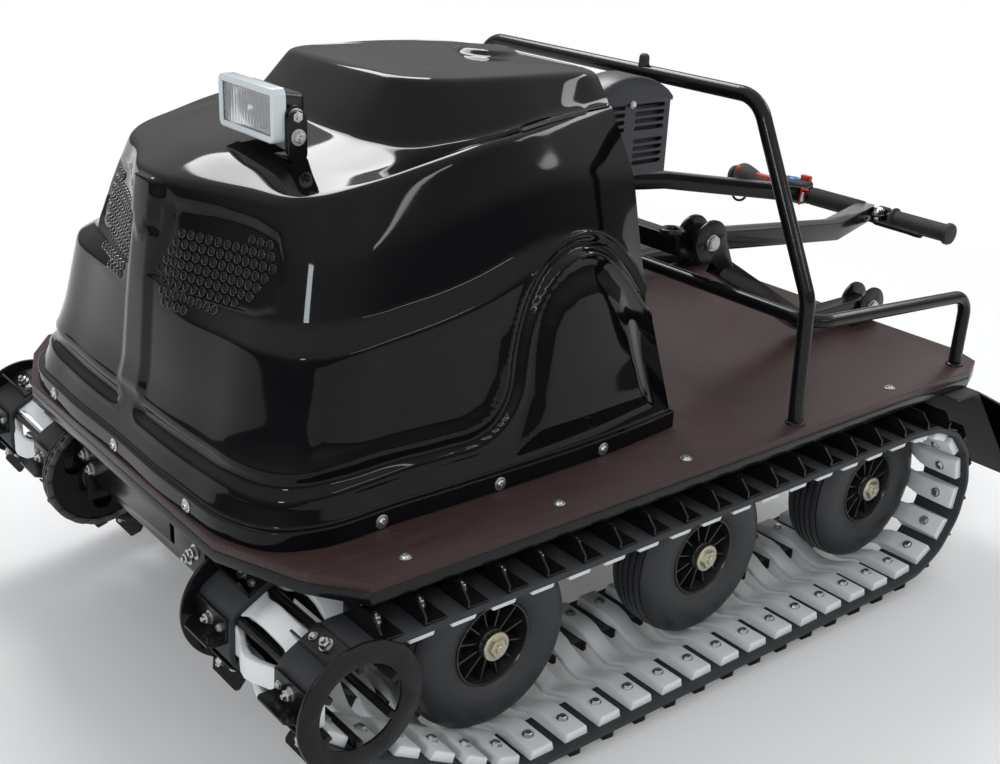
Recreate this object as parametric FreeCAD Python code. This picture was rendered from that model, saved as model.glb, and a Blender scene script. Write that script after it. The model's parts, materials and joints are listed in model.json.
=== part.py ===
"""Tracked snow towing vehicle: a walk-behind tug on two open tracks.

The model is in millimetres. +X is the vehicle's left side, -Y is its front,
+Z is up. While it is built, Y = 0 is the middle wheel axle and Z = 0 is the
ground. At the end every piece is moved so that the origin lies under the
middle of the whole vehicle. Each node is written to parts/NODE.step.
"""
import FreeCAD
import Part
import math
import os

V = FreeCAD.Vector

# ---------------------------------------------------------------- tracks
TRACK_CENTRE_X = 350.0      # middle of a track from the vehicle's centre
BELT_WIDTH = 80.0           # each of a track's two belts
BELT_GAP = 104.0            # clear gap between a track's two belts
BELT_THICK = 8.0
SHOE_COUNT = 46             # shoes in one loop
LUG_HEIGHT = 26.0           # steel grousers, belt to ground
LUG_THICK = 5.0
SADDLE_THICK = 14.0         # white plastic saddle, on the belts
SADDLE_LENGTH = 41.0        # along the track, where it lies on the belts
SADDLE_DRAFT = 0.28         # how fast its ends lean in, towards the wheels
SADDLE_INSET = 10.0         # saddle's end short of the belt's edge
SADDLE_VALLEY = 21.0        # valley floor below the saddle's ends
SADDLE_MIDDLE_THICK = 11.0  # at the valley's floor
TOP_RUN_Z = 299.0           # inner face of the belts' upper run
SLACK_RADIUS = 60.0         # bend of the upper run where it starts down

# ---------------------------------------------------------------- wheels
AXLE_PITCH = 395.0          # between neighbouring wheels
WHEEL_COUNT = 3
TYRE_RADIUS = 127.0
TYRE_WIDTH = 85.0
TREAD_WIDTH = 50.0
TYRE_SIDES = 20
RIM_RADIUS = 60.0
RIM_WIDTH = 70.0
RIM_WALL = 5.0
RIM_DISC_THICK = 8.0
RIM_SPOKES = 12
HUB_RADIUS = 25.0
AXLE_RADIUS = 12.5
AXLE_COLLAR_RADIUS = 20.0
WRAP_EXTRA = 3.0            # where the track bends round a wheel it keeps wider by this
TYRE_CLEARANCE = 3.0        # tread's edge to the valley's sides

# ---------------------------------------------------------------- front drum
DRUM_Y = -664.0
DRUM_Z = 240.0
DRUM_BELT_RADIUS = 58.0     # under the belts
DRUM_RING_RADIUS = 80.0
DRUM_RING_HOLE = 53.0
DRUM_RING_THICK = 5.0
DRUM_BARS = 6
DRUM_BAR_WIDTH = 8.0
DRUM_BAR_HEIGHT = 14.0
DRUM_HUB_RADIUS = 22.0
DRIVE_AXLE_RADIUS = 15.0

# ---------------------------------------------------------------- deck
DECK_TOP_Z = 367.0
DECK_FRONT_Y = -726.0
DECK_REAR_Y = 585.0
DECK_HALF_WIDTH = 455.0
DECK_PLY_THICK = 12.0
DECK_FRONT_FLAT = 275.0     # half of the straight front edge
DECK_KNUCKLE_X = 389.0
DECK_KNUCKLE_BACK = 46.0
DECK_SIDE_BACK = 94.0       # where the straight side starts
DECK_REAR_CORNER = 70.0
RIM_HEIGHT = 28.0
RIM_BAR_THICK = 6.0
DECK_BEARER_WIDTH = 30.0

# ---------------------------------------------------------------- chassis
BEAM_X = 175.0
BEAM_WIDTH = 40.0
BEAM_HEIGHT = 60.0
BEAM_Z = 157.0
CROSS_BEAM_SIZE = 40.0
POST_SIZE = 30.0

# ---------------------------------------------------------------- front guard
GUARD_PLATE_HALF = 190.0
GUARD_PLATE_THICK = 4.0
BRACKET_THICK = 8.0
GUARD_BOX_SIZE = 60.0
SLOT_LENGTH = 30.0
SLOT_WIDTH = 12.0

# ---------------------------------------------------------------- tow hitch
HITCH_WIDTH = 60.0
HITCH_THICK = 10.0
HITCH_DROP = 60.0
HITCH_REACH = 60.0
HITCH_BORE_RADIUS = 8.0

# ---------------------------------------------------------------- chain drive
CHAIN_X = -203.0
SPROCKET_RADIUS = 72.0
SPROCKET_THICK = 6.0
CHAIN_HEIGHT = 10.0
CHAIN_WIDTH = 12.0
PINION_RADIUS = 26.0
PINION_DY = 95.0            # small sprocket behind the big one
PINION_DZ = 55.0            # and above it
PINION_SHAFT_RADIUS = 8.0

# ---------------------------------------------------------------- hood
HOOD_REAR_Y = -51.0
HOOD_LENGTH = 671.0
HOOD_HALF_WIDTH = 358.0
HOOD_HEIGHT = 483.0
HOOD_WALL = 4.0
NOSE_RIB_HALF = 13.0        # rib down the middle of the nose
NOSE_RIB_RISE = 6.0
BADGE_HALF_WIDTH = 33.0     # bare plate at the rib's head
BADGE_RISE = 9.0
VENT_HOLE_RADIUS = 6.0      # round holes in the hood's two front faces
VENT_PITCH = 19.0
VENT_REACH = 0.46           # vent's half height, as a share of the face's height
VENT_NOSE_GAP = 36.0        # first holes to the vehicle's middle
VENT_SIDES = 6

# ---------------------------------------------------------------- engine
ENGINE_LENGTH = 330.0
ENGINE_WIDTH = 300.0
ENGINE_HEIGHT = 400.0
ENGINE_REAR_Y = -75.0
GUARD_X = 150.0              # muffler guard's louvred face
GUARD_DEPTH = 50.0
GUARD_LENGTH = 160.0
GUARD_OUTSTAND = 139.0      # its rear end behind the hood
GUARD_DROP = 92.0           # its foot under the engine's top
GUARD_HEIGHT = 110.0        # up to where its arched cap starts
GUARD_CAP_RISE = 33.0
GUARD_WALL = 3.0
CAP_STEPS = 8
LOUVRE_ROWS = (0.0, 10.5, 21.0, 31.5, 50.0, 60.5, 71.0, 81.5)
LOUVRE_LOWEST = 16.0        # lowest row above the guard's foot
LOUVRE_HEIGHT = 5.5
LOUVRE_MARGIN = 11.0        # rows' ends to the guard's ends
LOUVRE_RIB = 20.0           # between the two rows
SILENCER_GAP = 12.0         # silencer to the guard's walls
NECK_WIDTH = 30.0           # neck from the engine to the silencer
NECK_HEIGHT = 40.0
NECK_LIFT = 25.0
NECK_LAP = 40.0

# ---------------------------------------------------------------- head lamp
LAMP_X = 60.0
LAMP_BEHIND = 32.0          # lamp's front behind the middle of the bonnet's rise
LAMP_GAP = 16.0             # lamp's underside over the bonnet there
LAMP_WIDTH = 132.0
LAMP_HEIGHT = 64.0
LAMP_DEPTH = 44.0
LAMP_LENS_THICK = 6.0
LAMP_BRACKET_THICK = 4.0
LAMP_BRACKET_WIDTH = 28.0

# ---------------------------------------------------------------- hoop, rail
HOOP_Y = 108.0
HOOP_RADIUS = 11.0
HOOP_INSET = 23.0           # foot's middle from the deck's side
HOOP_LEAN = 8.0             # knee further in than the foot
HOOP_KNEE_Z = 550.0
HOOP_TOP_X = 295.0
HOOP_TOP_Z = 807.0
HOOP_BEND = 50.0
CLIP_X = 70.0               # cable clip on the hoop's top
CLIP_WIDTH = 16.0
CLIP_HEIGHT = 16.0
RAIL_RADIUS = 10.0
RAIL_INSET = 31.0           # from the deck's side
RAIL_FRONT_Z = 511.0
RAIL_REAR_Z = 485.0
RAIL_REAR_Y = 518.0
RAIL_BEND = 36.0

# ---------------------------------------------------------------- handle
ARM_X = 196.0               # both side arms from the centre
ARM_SIZE = 30.0
REAR_PIN_Y = 574.0
REAR_PIN_Z = 394.0
KNEE_PIN_Y = 135.0
KNEE_PIN_Z = 575.0
LOWER_BEND_Y = 400.0
LOWER_TOP_Y = 176.0
LOWER_TOP_Z = 528.0
CROSS_TUBE_Y = 156.0
CROSS_TUBE_Z = 548.0
ARM_BEND_Y = 454.0
ARM_BEND_Z = 545.0
ARM_END_GAP = 31.0          # arm ends to the brake clamp
BAR_Y = 724.0
BAR_Z = 512.0
BAR_RADIUS = 11.0
BAR_HALF = 250.0
GRIP_LENGTH = 118.0
GRIP_RADIUS = 16.0
GRIP_FLANGE_RADIUS = 20.0
GRIP_FLANGE = 6.0
PLATE_RADIUS = 34.0
PLATE_THICK = 6.0
PLATE_CLEARANCE = 0.5
PIN_RADIUS = 6.0
PIN_CLEARANCE = 0.05
PIN_HEAD_RADIUS = 11.0
PIN_HEAD = 6.0
EYE_RADIUS = 15.0
EYE_WIRE = 5.0
CLAMP_GAP = 12.0            # brake clamp to the grip
CLAMP_WIDTH = 18.0
CLAMP_RADIUS = 17.0
LEVER_REACH = 52.0          # brake lever before the handlebar
LEVER_SHORT = 18.0          # lever's end short of the handlebar's
LEVER_THICK = 7.0
LEVER_WIDTH = 12.0
SWITCH_GAP = 2.0            # switch box to the grip
SWITCH_WIDTH = 32.0
SWITCH_SIZE = 38.0

# ---------------------------------------------------------------- mud flaps
FLAP_WIDTH = 178.0
FLAP_OUTSTAND = 23.0        # past the deck's side
FLAP_THICK = 5.0
FLAP_DROP = 190.0
FLAP_REACH = 155.0
FLAP_LAP = 60.0             # flat part fixed under the deck
FLAP_KNEE_Y = 90.0
FLAP_KNEE_Z = 45.0

# ---------------------------------------------------------------- worked out
BELT_INNER_Z = LUG_HEIGHT + BELT_THICK
SADDLE_HALF = BELT_GAP / 2.0 + BELT_WIDTH - SADDLE_INSET
TREAD_RISE = SADDLE_VALLEY * TREAD_WIDTH / 2.0 / SADDLE_HALF
TREAD_Z = BELT_INNER_Z + SADDLE_THICK - SADDLE_VALLEY + TREAD_RISE
AXLE_Z = TREAD_Z + TYRE_CLEARANCE + TYRE_RADIUS
WHEEL_PATH_RADIUS = AXLE_Z - BELT_INNER_Z
FIRST_AXLE_Y = -AXLE_PITCH * (WHEEL_COUNT - 1) / 2.0
LAST_AXLE_Y = -FIRST_AXLE_Y
DECK_UNDER_Z = DECK_TOP_Z - DECK_PLY_THICK
FRAME_UNDER_Z = DECK_TOP_Z - RIM_HEIGHT
BELT_OUTER_X = TRACK_CENTRE_X + BELT_GAP / 2.0 + BELT_WIDTH
BELT_INNER_X = TRACK_CENTRE_X - BELT_GAP / 2.0 - BELT_WIDTH
HOOP_FOOT_X = DECK_HALF_WIDTH - HOOP_INSET
HOOP_KNEE_X = HOOP_FOOT_X - HOOP_LEAN
RAIL_X = DECK_HALF_WIDTH - RAIL_INSET
FLAP_OUTER_X = DECK_HALF_WIDTH + FLAP_OUTSTAND
FLAP_INNER_X = FLAP_OUTER_X - FLAP_WIDTH
GRIP_INNER_X = BAR_HALF - GRIP_LENGTH
GUARD_FRONT_Y = HOOD_REAR_Y + GUARD_OUTSTAND - GUARD_LENGTH
GUARD_Z = DECK_TOP_Z + ENGINE_HEIGHT - GUARD_DROP
CLAMP_X = GRIP_INNER_X - CLAMP_GAP - CLAMP_WIDTH
ARM_END_X = CLAMP_X - ARM_END_GAP
LEVER_END_X = BAR_HALF - LEVER_SHORT
SWITCH_X = GRIP_INNER_X - SWITCH_GAP - SWITCH_WIDTH
THROUGH = 1.0               # how far a cut runs past a face


# ================================================================ helpers
def box(x0, x1, y0, y1, z0, z1):
    """A box between two corners."""
    return Part.makeBox(x1 - x0, y1 - y0, z1 - z0, V(x0, y0, z0))


def cylinder(start, end, radius):
    """A round bar from one point to another."""
    axis = end - start
    return Part.makeCylinder(radius, axis.Length, start, axis)


def pipe(start, end, outer, inner):
    """A round tube from one point to another."""
    return cylinder(start, end, outer).cut(cylinder(start, end, inner))


def fuse(shapes):
    """One solid from several that touch."""
    whole = shapes[0]
    if len(shapes) > 1:
        whole = whole.multiFuse(shapes[1:])
    return whole.removeSplitter()


def prism(points, direction):
    """A flat outline pushed along a direction."""
    wire = Part.makePolygon(points + [points[0]])
    return Part.Face(wire).extrude(direction)


def side_prism(outline, x0, x1):
    """An outline of (y, z) points pushed from x0 to x1."""
    return prism([V(x0, y, z) for y, z in outline], V(x1 - x0, 0, 0))


def plan_prism(outline, z0, z1):
    """An outline of (x, y) points pushed from z0 to z1."""
    return prism([V(x, y, z0) for x, y in outline], V(0, 0, z1 - z0))


def flat_face(corners):
    """One flat face with the given corners."""
    return Part.Face(Part.makePolygon(corners + [corners[0]]))


def between(first, last):
    """A solid between two flat outlines with the same number of corners."""
    faces = [flat_face(first), flat_face(last)]
    for index, corner in enumerate(first):
        follow = (index + 1) % len(first)
        faces.append(flat_face([corner, first[follow], last[follow], last[index]]))
    return Part.makeSolid(Part.makeShell(faces))


def square_tube(points, size):
    """A square bar along a bent line, mitred at its corners."""
    profile_at = points[0]
    along = (points[1] - points[0]).normalize()
    side = along.cross(V(0, 0, 1)).normalize() * (size / 2.0)
    up = side.cross(along).normalize() * (size / 2.0)
    corners = [profile_at + side + up, profile_at - side + up]
    corners += [profile_at - side - up, profile_at + side - up]
    profile = Part.makePolygon(corners + [corners[0]])
    spine = Part.makePolygon(points)
    shell = Part.BRepOffsetAPI.MakePipeShell(spine)
    shell.add(profile)
    shell.setTransitionMode(1)
    shell.build()
    shell.makeSolid()
    return shell.shape()


def round_tube(points, radius, bend):
    """A round bar along a bent line, with an arc of one radius at each corner."""
    edges = []
    start = points[0]
    for before, corner, after in zip(points, points[1:], points[2:]):
        to_before = (before - corner).normalize()
        to_after = (after - corner).normalize()
        half_turn = (math.pi - to_before.getAngle(to_after)) / 2.0
        back = bend * math.tan(half_turn)
        first = corner + to_before * back
        last = corner + to_after * back
        bisector = (to_before + to_after).normalize()
        centre = corner + bisector * (bend / math.cos(half_turn))
        middle = centre - bisector * bend
        edges.append(Part.LineSegment(start, first).toShape())
        edges.append(Part.Arc(first, middle, last).toShape())
        start = last
    edges.append(Part.LineSegment(start, points[-1]).toShape())
    spine = Part.Wire(edges)
    along = points[1] - points[0]
    circle = Part.Wire(Part.Circle(points[0], along, radius).toShape())
    return spine.makePipeShell([circle], True, True)


def mirrored(shape):
    """The same shape on the vehicle's other side."""
    return shape.mirror(V(0, 0, 0), V(1, 0, 0))


def both_sides(shape):
    """A shape and its mirror image as one compound of separate solids."""
    return Part.Compound([shape, mirrored(shape)])


# ================================================================ tracks
def track_path():
    """The belts' inner face as a smooth loop of (y, z), one point a shoe.

    The loop is a tight string round the drum, the first wheel, the last
    wheel and the bend at the upper run's rear end.
    """
    slack_y = LAST_AXLE_Y - SLACK_RADIUS / 2.0
    rounds = [
        (DRUM_Y, DRUM_Z, DRUM_BELT_RADIUS),
        (FIRST_AXLE_Y, AXLE_Z + WRAP_EXTRA, WHEEL_PATH_RADIUS + WRAP_EXTRA),
        (LAST_AXLE_Y, AXLE_Z + WRAP_EXTRA, WHEEL_PATH_RADIUS + WRAP_EXTRA),
        (slack_y, TOP_RUN_Z - SLACK_RADIUS, SLACK_RADIUS),
    ]
    tangents = []
    for (y0, z0, r0), (y1, z1, r1) in zip(rounds, rounds[1:] + rounds[:1]):
        length = math.hypot(y1 - y0, z1 - z0)
        heading = math.atan2(z1 - z0, y1 - y0)
        normal = heading - math.pi / 2.0 + math.asin((r1 - r0) / length) * -1.0
        tangents.append(normal)
    pieces = []
    for index, (y0, z0, r0) in enumerate(rounds):
        start = tangents[index - 1]
        turn = (tangents[index] - start) % (2.0 * math.pi)
        pieces.append(("arc", y0, z0, r0, start, turn))
        y1, z1, r1 = rounds[(index + 1) % len(rounds)]
        normal = tangents[index]
        p0 = (y0 + r0 * math.cos(normal), z0 + r0 * math.sin(normal))
        p1 = (y1 + r1 * math.cos(normal), z1 + r1 * math.sin(normal))
        pieces.append(("line", p0, p1))
    lengths = []
    for piece in pieces:
        if piece[0] == "arc":
            lengths.append(piece[3] * piece[5])
        else:
            lengths.append(math.dist(piece[1], piece[2]))
    step = sum(lengths) / SHOE_COUNT
    points = []
    for count in range(SHOE_COUNT):
        distance = count * step
        for piece, length in zip(pieces, lengths):
            if distance <= length:
                break
            distance -= length
        if piece[0] == "arc":
            angle = piece[4] + distance / piece[3]
            points.append((piece[1] + piece[3] * math.cos(angle), piece[2] + piece[3] * math.sin(angle)))
        else:
            share = distance / length
            points.append(tuple(a + (b - a) * share for a, b in zip(piece[1], piece[2])))
    return points


def shoe_frames():
    """Each shoe's middle, its direction along the track and its outward normal."""
    points = track_path()
    frames = []
    for (y0, z0), (y1, z1) in zip(points, points[1:] + points[:1]):
        length = math.dist((y0, z0), (y1, z1))
        along = ((y1 - y0) / length, (z1 - z0) / length)
        outward = (along[1], -along[0])
        frames.append((((y0 + y1) / 2.0, (z0 + z1) / 2.0), along, outward))
    return frames


def moved(point, along, outward, forward, out):
    """A point of the track's side view, moved along and away from the belt."""
    y = point[0] + along[0] * forward + outward[0] * out
    z = point[1] + along[1] * forward + outward[1] * out
    return (y, z)


def offset_loop(points, distance):
    """A loop's corners moved outwards so that each side moves by a distance."""
    result = []
    for (ya, za), (y, z), (yb, zb) in zip(points[-1:] + points[:-1], points, points[1:] + points[:1]):
        first = math.atan2(z - za, y - ya)
        second = math.atan2(zb - z, yb - y)
        half = math.remainder(second - first, 2.0 * math.pi) / 2.0
        middle = first + half - math.pi / 2.0
        reach = distance / math.cos(half)
        result.append((y + reach * math.cos(middle), z + reach * math.sin(middle)))
    return result


def belt_outline():
    """A belt's outer outline, with one wedge-shaped lug for each shoe."""
    corners = offset_loop(track_path(), BELT_THICK)
    outline = []
    for corner, (middle, along, outward) in zip(corners, shoe_frames()):
        outline.append(moved(middle, along, outward, -LUG_THICK / 2.0, BELT_THICK))
        outline.append(moved(middle, along, outward, 0.0, BELT_THICK + LUG_HEIGHT))
        outline.append(moved(middle, along, outward, LUG_THICK / 2.0, BELT_THICK))
    return outline, corners


def straight_removed(points):
    """A loop without the corners that lie on a straight stretch."""
    kept = []
    for (ya, za), (y, z), (yb, zb) in zip(points[-1:] + points[:-1], points, points[1:] + points[:1]):
        cross = (y - ya) * (zb - z) - (z - za) * (yb - y)
        if abs(cross) > 1.0:
            kept.append((y, z))
    return kept


def belt(x0, x1):
    """One belt: a closed loop with its lugs in the outline."""
    lugs, corners = belt_outline()
    turning = set(straight_removed(corners))
    outline = []
    for index, corner in enumerate(corners):
        if corner in turning:
            outline.append(corner)
        outline.extend(lugs[3 * index:3 * index + 3])
    outer = side_prism(outline, x0, x1)
    inner = side_prism(straight_removed(track_path()), x0, x1)
    return outer.cut(inner)


def saddle(middle, along, outward):
    """A plastic saddle: both ends lie on the belts, its middle dips between them.

    Its front and rear faces lean in towards the wheels, so that neighbours
    stay apart where the track bends round the drum.
    """
    half = SADDLE_HALF
    lip = BELT_GAP / 2.0
    floor = SADDLE_VALLEY - SADDLE_THICK
    outline = [
        (half, 0.0), (half, -SADDLE_THICK), (0.0, floor), (-half, -SADDLE_THICK),
        (-half, 0.0), (-lip, 0.0), (0.0, floor + SADDLE_MIDDLE_THICK), (lip, 0.0),
    ]
    ends = []
    for side in (-1.0, 1.0):
        corners = []
        for x, out in outline:
            reach = SADDLE_LENGTH / 2.0 + SADDLE_DRAFT * out
            y, z = moved(middle, along, outward, side * reach, out)
            corners.append(V(TRACK_CENTRE_X + x, y, z))
        ends.append(corners)
    return between(ends[0], ends[1])


def tracks():
    """Belts with lugs, and the saddles that join them."""
    outer = belt(TRACK_CENTRE_X + BELT_GAP / 2.0, BELT_OUTER_X)
    inner = belt(BELT_INNER_X, TRACK_CENTRE_X - BELT_GAP / 2.0)
    saddles = [saddle(*frame) for frame in shoe_frames()]
    belts = Part.Compound([outer, inner])
    saddles = Part.Compound(saddles)
    return {
        "track_belts_left": belts, "track_belts_right": mirrored(belts),
        "track_saddles_left": saddles, "track_saddles_right": mirrored(saddles),
    }


# ================================================================ wheels
def axle_positions():
    """The wheels' places along the vehicle."""
    return [FIRST_AXLE_Y + AXLE_PITCH * count for count in range(WHEEL_COUNT)]


def tyre(y):
    """A tyre as a many-sided ring with a flat tread and sloping sides."""
    half = TYRE_WIDTH / 2.0
    outline = [
        (TRACK_CENTRE_X - TREAD_WIDTH / 2.0, TYRE_RADIUS), (TRACK_CENTRE_X + TREAD_WIDTH / 2.0, TYRE_RADIUS),
        (TRACK_CENTRE_X + half, RIM_RADIUS), (TRACK_CENTRE_X - half, RIM_RADIUS),
    ]
    centre = V(0, y, AXLE_Z)
    faces = []
    rings = []
    for x, r in outline:
        ring = []
        for side in range(TYRE_SIDES):
            angle = 2.0 * math.pi * (side + 0.5) / TYRE_SIDES
            ring.append(centre + V(x, r * math.cos(angle), r * math.sin(angle)))
        rings.append(ring)
    for first, second in zip(rings, rings[1:] + rings[:1]):
        for side in range(TYRE_SIDES):
            follow = (side + 1) % TYRE_SIDES
            faces.append(flat_face([first[side], first[follow], second[follow], second[side]]))
    return Part.makeSolid(Part.makeShell(faces))


def rim(y):
    """A spoked plastic rim with its hub."""
    x0 = TRACK_CENTRE_X - RIM_WIDTH / 2.0
    x1 = TRACK_CENTRE_X + RIM_WIDTH / 2.0
    seat = RIM_RADIUS * math.cos(math.pi / TYRE_SIDES)
    shell = pipe(V(x0, y, AXLE_Z), V(x1, y, AXLE_Z), seat, seat - RIM_WALL)
    hub = cylinder(V(x0, y, AXLE_Z), V(x1, y, AXLE_Z), HUB_RADIUS)
    disc = cylinder(V(TRACK_CENTRE_X, y, AXLE_Z), V(TRACK_CENTRE_X + RIM_DISC_THICK, y, AXLE_Z),
                    seat - RIM_WALL / 2.0)
    spokes = []
    for count in range(RIM_SPOKES):
        spoke = box(TRACK_CENTRE_X, x1 - RIM_WALL, y - RIM_WALL / 2.0, y + RIM_WALL / 2.0,
                    AXLE_Z + HUB_RADIUS - RIM_WALL, AXLE_Z + seat - RIM_WALL / 2.0)
        spoke.rotate(V(0, y, AXLE_Z), V(1, 0, 0), 360.0 * count / RIM_SPOKES)
        spokes.append(spoke)
    whole = fuse([shell, hub, disc] + spokes)
    return whole.cut(cylinder(V(x0, y, AXLE_Z), V(x1, y, AXLE_Z), AXLE_RADIUS))


def stub_axle(y):
    """The fixed axle from the chassis beam through a wheel's hub, with its end cap."""
    beam_face = BEAM_X + BEAM_WIDTH / 2.0
    rim_in = TRACK_CENTRE_X - RIM_WIDTH / 2.0
    rim_out = TRACK_CENTRE_X + RIM_WIDTH / 2.0
    shaft = cylinder(V(beam_face, y, AXLE_Z), V(rim_out, y, AXLE_Z), AXLE_RADIUS)
    collar = cylinder(V(beam_face, y, AXLE_Z), V(rim_in, y, AXLE_Z), AXLE_COLLAR_RADIUS)
    cap = cylinder(V(rim_out, y, AXLE_Z), V(rim_out + PIN_HEAD, y, AXLE_Z), AXLE_COLLAR_RADIUS)
    bolt = cylinder(V(rim_out + PIN_HEAD, y, AXLE_Z), V(rim_out + 2.0 * PIN_HEAD, y, AXLE_Z), PIN_HEAD_RADIUS)
    return fuse([collar, shaft, cap, bolt])


def wheels():
    """Tyres, rims and stub axles, three a side."""
    nodes = {}
    for name, make in (("tyres", tyre), ("rims", rim), ("stub_axles", stub_axle)):
        left = Part.Compound([make(y) for y in axle_positions()])
        nodes[name + "_left"] = left
        nodes[name + "_right"] = mirrored(left)
    return nodes


# ================================================================ drive drums
def drum():
    """An open cage drum: two flat rings, cross bars and a hub on spokes."""
    ring_out = BELT_OUTER_X
    ring_in = BELT_INNER_X - DRUM_RING_THICK
    shapes = []
    for x in (ring_out, ring_in):
        shapes.append(pipe(V(x, DRUM_Y, DRUM_Z), V(x + DRUM_RING_THICK, DRUM_Y, DRUM_Z),
                           DRUM_RING_RADIUS, DRUM_RING_HOLE))
    on_drum = []
    for y, z in track_path():
        if math.dist((y, z), (DRUM_Y, DRUM_Z)) < DRUM_BELT_RADIUS + DRUM_RING_THICK / 2.0:
            on_drum.append(math.atan2(z - DRUM_Z, y - DRUM_Y) % (2.0 * math.pi))
    on_drum.sort()
    step = on_drum[1] - on_drum[0]
    half = DRUM_BAR_WIDTH / 2.0
    low = DRUM_BELT_RADIUS - DRUM_BAR_HEIGHT
    shoulder = DRUM_BELT_RADIUS - half * math.tan(step / 2.0)
    profile = [(low, -half), (shoulder, -half), (DRUM_BELT_RADIUS, 0.0), (shoulder, half), (low, half)]
    profile = [(DRUM_Y + reach, DRUM_Z + across) for reach, across in profile]
    for count in range(DRUM_BARS):
        cage_bar = side_prism(profile, ring_in, ring_out + DRUM_RING_THICK)
        turn = math.degrees(on_drum[0] + step * count)
        cage_bar.rotate(V(0, DRUM_Y, DRUM_Z), V(1, 0, 0), turn)
        shapes.append(cage_bar)
    hub = cylinder(V(ring_in, DRUM_Y, DRUM_Z), V(TRACK_CENTRE_X, DRUM_Y, DRUM_Z), DRUM_HUB_RADIUS)
    disc = cylinder(V(ring_in, DRUM_Y, DRUM_Z), V(ring_in + DRUM_RING_THICK, DRUM_Y, DRUM_Z),
                    DRUM_RING_HOLE + DRUM_RING_THICK / 2.0)
    whole = fuse(shapes + [hub, disc])
    return whole.cut(cylinder(V(ring_in, DRUM_Y, DRUM_Z), V(TRACK_CENTRE_X, DRUM_Y, DRUM_Z),
                              DRIVE_AXLE_RADIUS))


def drive():
    """The drums, the axle that joins them and the chain that drives it."""
    axle_end = TRACK_CENTRE_X
    axle = cylinder(V(-axle_end, DRUM_Y, DRUM_Z), V(axle_end, DRUM_Y, DRUM_Z), DRIVE_AXLE_RADIUS)
    left = drum()
    half = SPROCKET_THICK / 2.0
    wheel = cylinder(V(CHAIN_X - half, DRUM_Y, DRUM_Z), V(CHAIN_X + half, DRUM_Y, DRUM_Z), SPROCKET_RADIUS)
    wheel = wheel.cut(cylinder(V(CHAIN_X - half, DRUM_Y, DRUM_Z), V(CHAIN_X + half, DRUM_Y, DRUM_Z),
                               DRIVE_AXLE_RADIUS))
    pinion_y = DRUM_Y + PINION_DY
    pinion_z = DRUM_Z + PINION_DZ
    pinion = cylinder(V(CHAIN_X - half, pinion_y, pinion_z), V(CHAIN_X + half, pinion_y, pinion_z),
                      PINION_RADIUS)
    shaft = cylinder(V(CHAIN_X, pinion_y, pinion_z), V(-GUARD_PLATE_HALF, pinion_y, pinion_z),
                     PINION_SHAFT_RADIUS)
    sprockets = Part.Compound([wheel, fuse([pinion, shaft])])
    return {
        "drive_axle": axle, "drive_drum_left": left, "drive_drum_right": mirrored(left),
        "chain_sprockets": sprockets, "drive_chain": chain(),
    }


def chain():
    """The drive chain as one flat-sided loop round its two sprockets."""
    rounds = [(DRUM_Y, DRUM_Z, SPROCKET_RADIUS), (DRUM_Y + PINION_DY, DRUM_Z + PINION_DZ, PINION_RADIUS)]
    sides = 8
    outlines = []
    for extra in (0.0, CHAIN_HEIGHT):
        hull = []
        (y0, z0, r0), (y1, z1, r1) = rounds
        heading = math.atan2(z1 - z0, y1 - y0)
        spread = math.acos((r0 - r1) / math.dist((y0, z0), (y1, z1)))
        step = (2.0 * math.pi - 2.0 * spread) / sides
        for count in range(sides):
            angle = heading + spread + step * (count + 0.5)
            reach = (r0 + extra) / math.cos(step / 2.0)
            hull.append((y0 + reach * math.cos(angle), z0 + reach * math.sin(angle)))
        for side in (-1.0, 1.0):
            angle = heading + side * spread / 2.0
            reach = (r1 + extra) / math.cos(spread / 2.0)
            hull.append((y1 + reach * math.cos(angle), z1 + reach * math.sin(angle)))
        outlines.append(hull)
    half = CHAIN_WIDTH / 2.0
    outer = side_prism(outlines[1], CHAIN_X - half, CHAIN_X + half)
    return outer.cut(side_prism(outlines[0], CHAIN_X - half, CHAIN_X + half))


# ================================================================ deck and chassis
def deck_outline(inset):
    """The deck's outline in plan, moved inwards."""
    half = DECK_HALF_WIDTH - inset
    front = DECK_FRONT_Y + inset
    rear = DECK_REAR_Y - inset
    corner = DECK_REAR_CORNER
    right_side = [
        (DECK_FRONT_FLAT - inset * 0.2, front), (DECK_KNUCKLE_X - inset * 0.6, front + DECK_KNUCKLE_BACK),
        (half, DECK_FRONT_Y + DECK_SIDE_BACK + inset * 0.4), (half, rear - corner + inset),
        (half - (corner - inset) * 0.3, rear - (corner - inset) * 0.3), (half - corner + inset, rear),
    ]
    return right_side + [(-x, y) for x, y in reversed(right_side)]


def deck():
    """The plywood deck and the steel rim under its edge, with bearers."""
    panel = plan_prism(deck_outline(0.0), DECK_UNDER_Z, DECK_TOP_Z)
    rim_outer = plan_prism(deck_outline(0.0), FRAME_UNDER_Z, DECK_UNDER_Z)
    rim_bar = rim_outer.cut(plan_prism(deck_outline(RIM_BAR_THICK), FRAME_UNDER_Z, DECK_UNDER_Z))
    bearers = []
    half = DECK_HALF_WIDTH - RIM_BAR_THICK / 2.0
    for y in (FIRST_AXLE_Y, 0.0, LAST_AXLE_Y):
        bearers.append(box(-half, half, y - DECK_BEARER_WIDTH / 2.0, y + DECK_BEARER_WIDTH / 2.0,
                           FRAME_UNDER_Z, DECK_UNDER_Z))
    front = DECK_FRONT_Y + RIM_BAR_THICK / 2.0
    rear = DECK_REAR_Y - RIM_BAR_THICK / 2.0
    for x in (-BEAM_X, BEAM_X):
        bearers.append(box(x - DECK_BEARER_WIDTH / 2.0, x + DECK_BEARER_WIDTH / 2.0, front, rear,
                           FRAME_UNDER_Z, DECK_UNDER_Z))
    return {"deck_panel": panel, "deck_frame": fuse([rim_bar] + bearers)}


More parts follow.
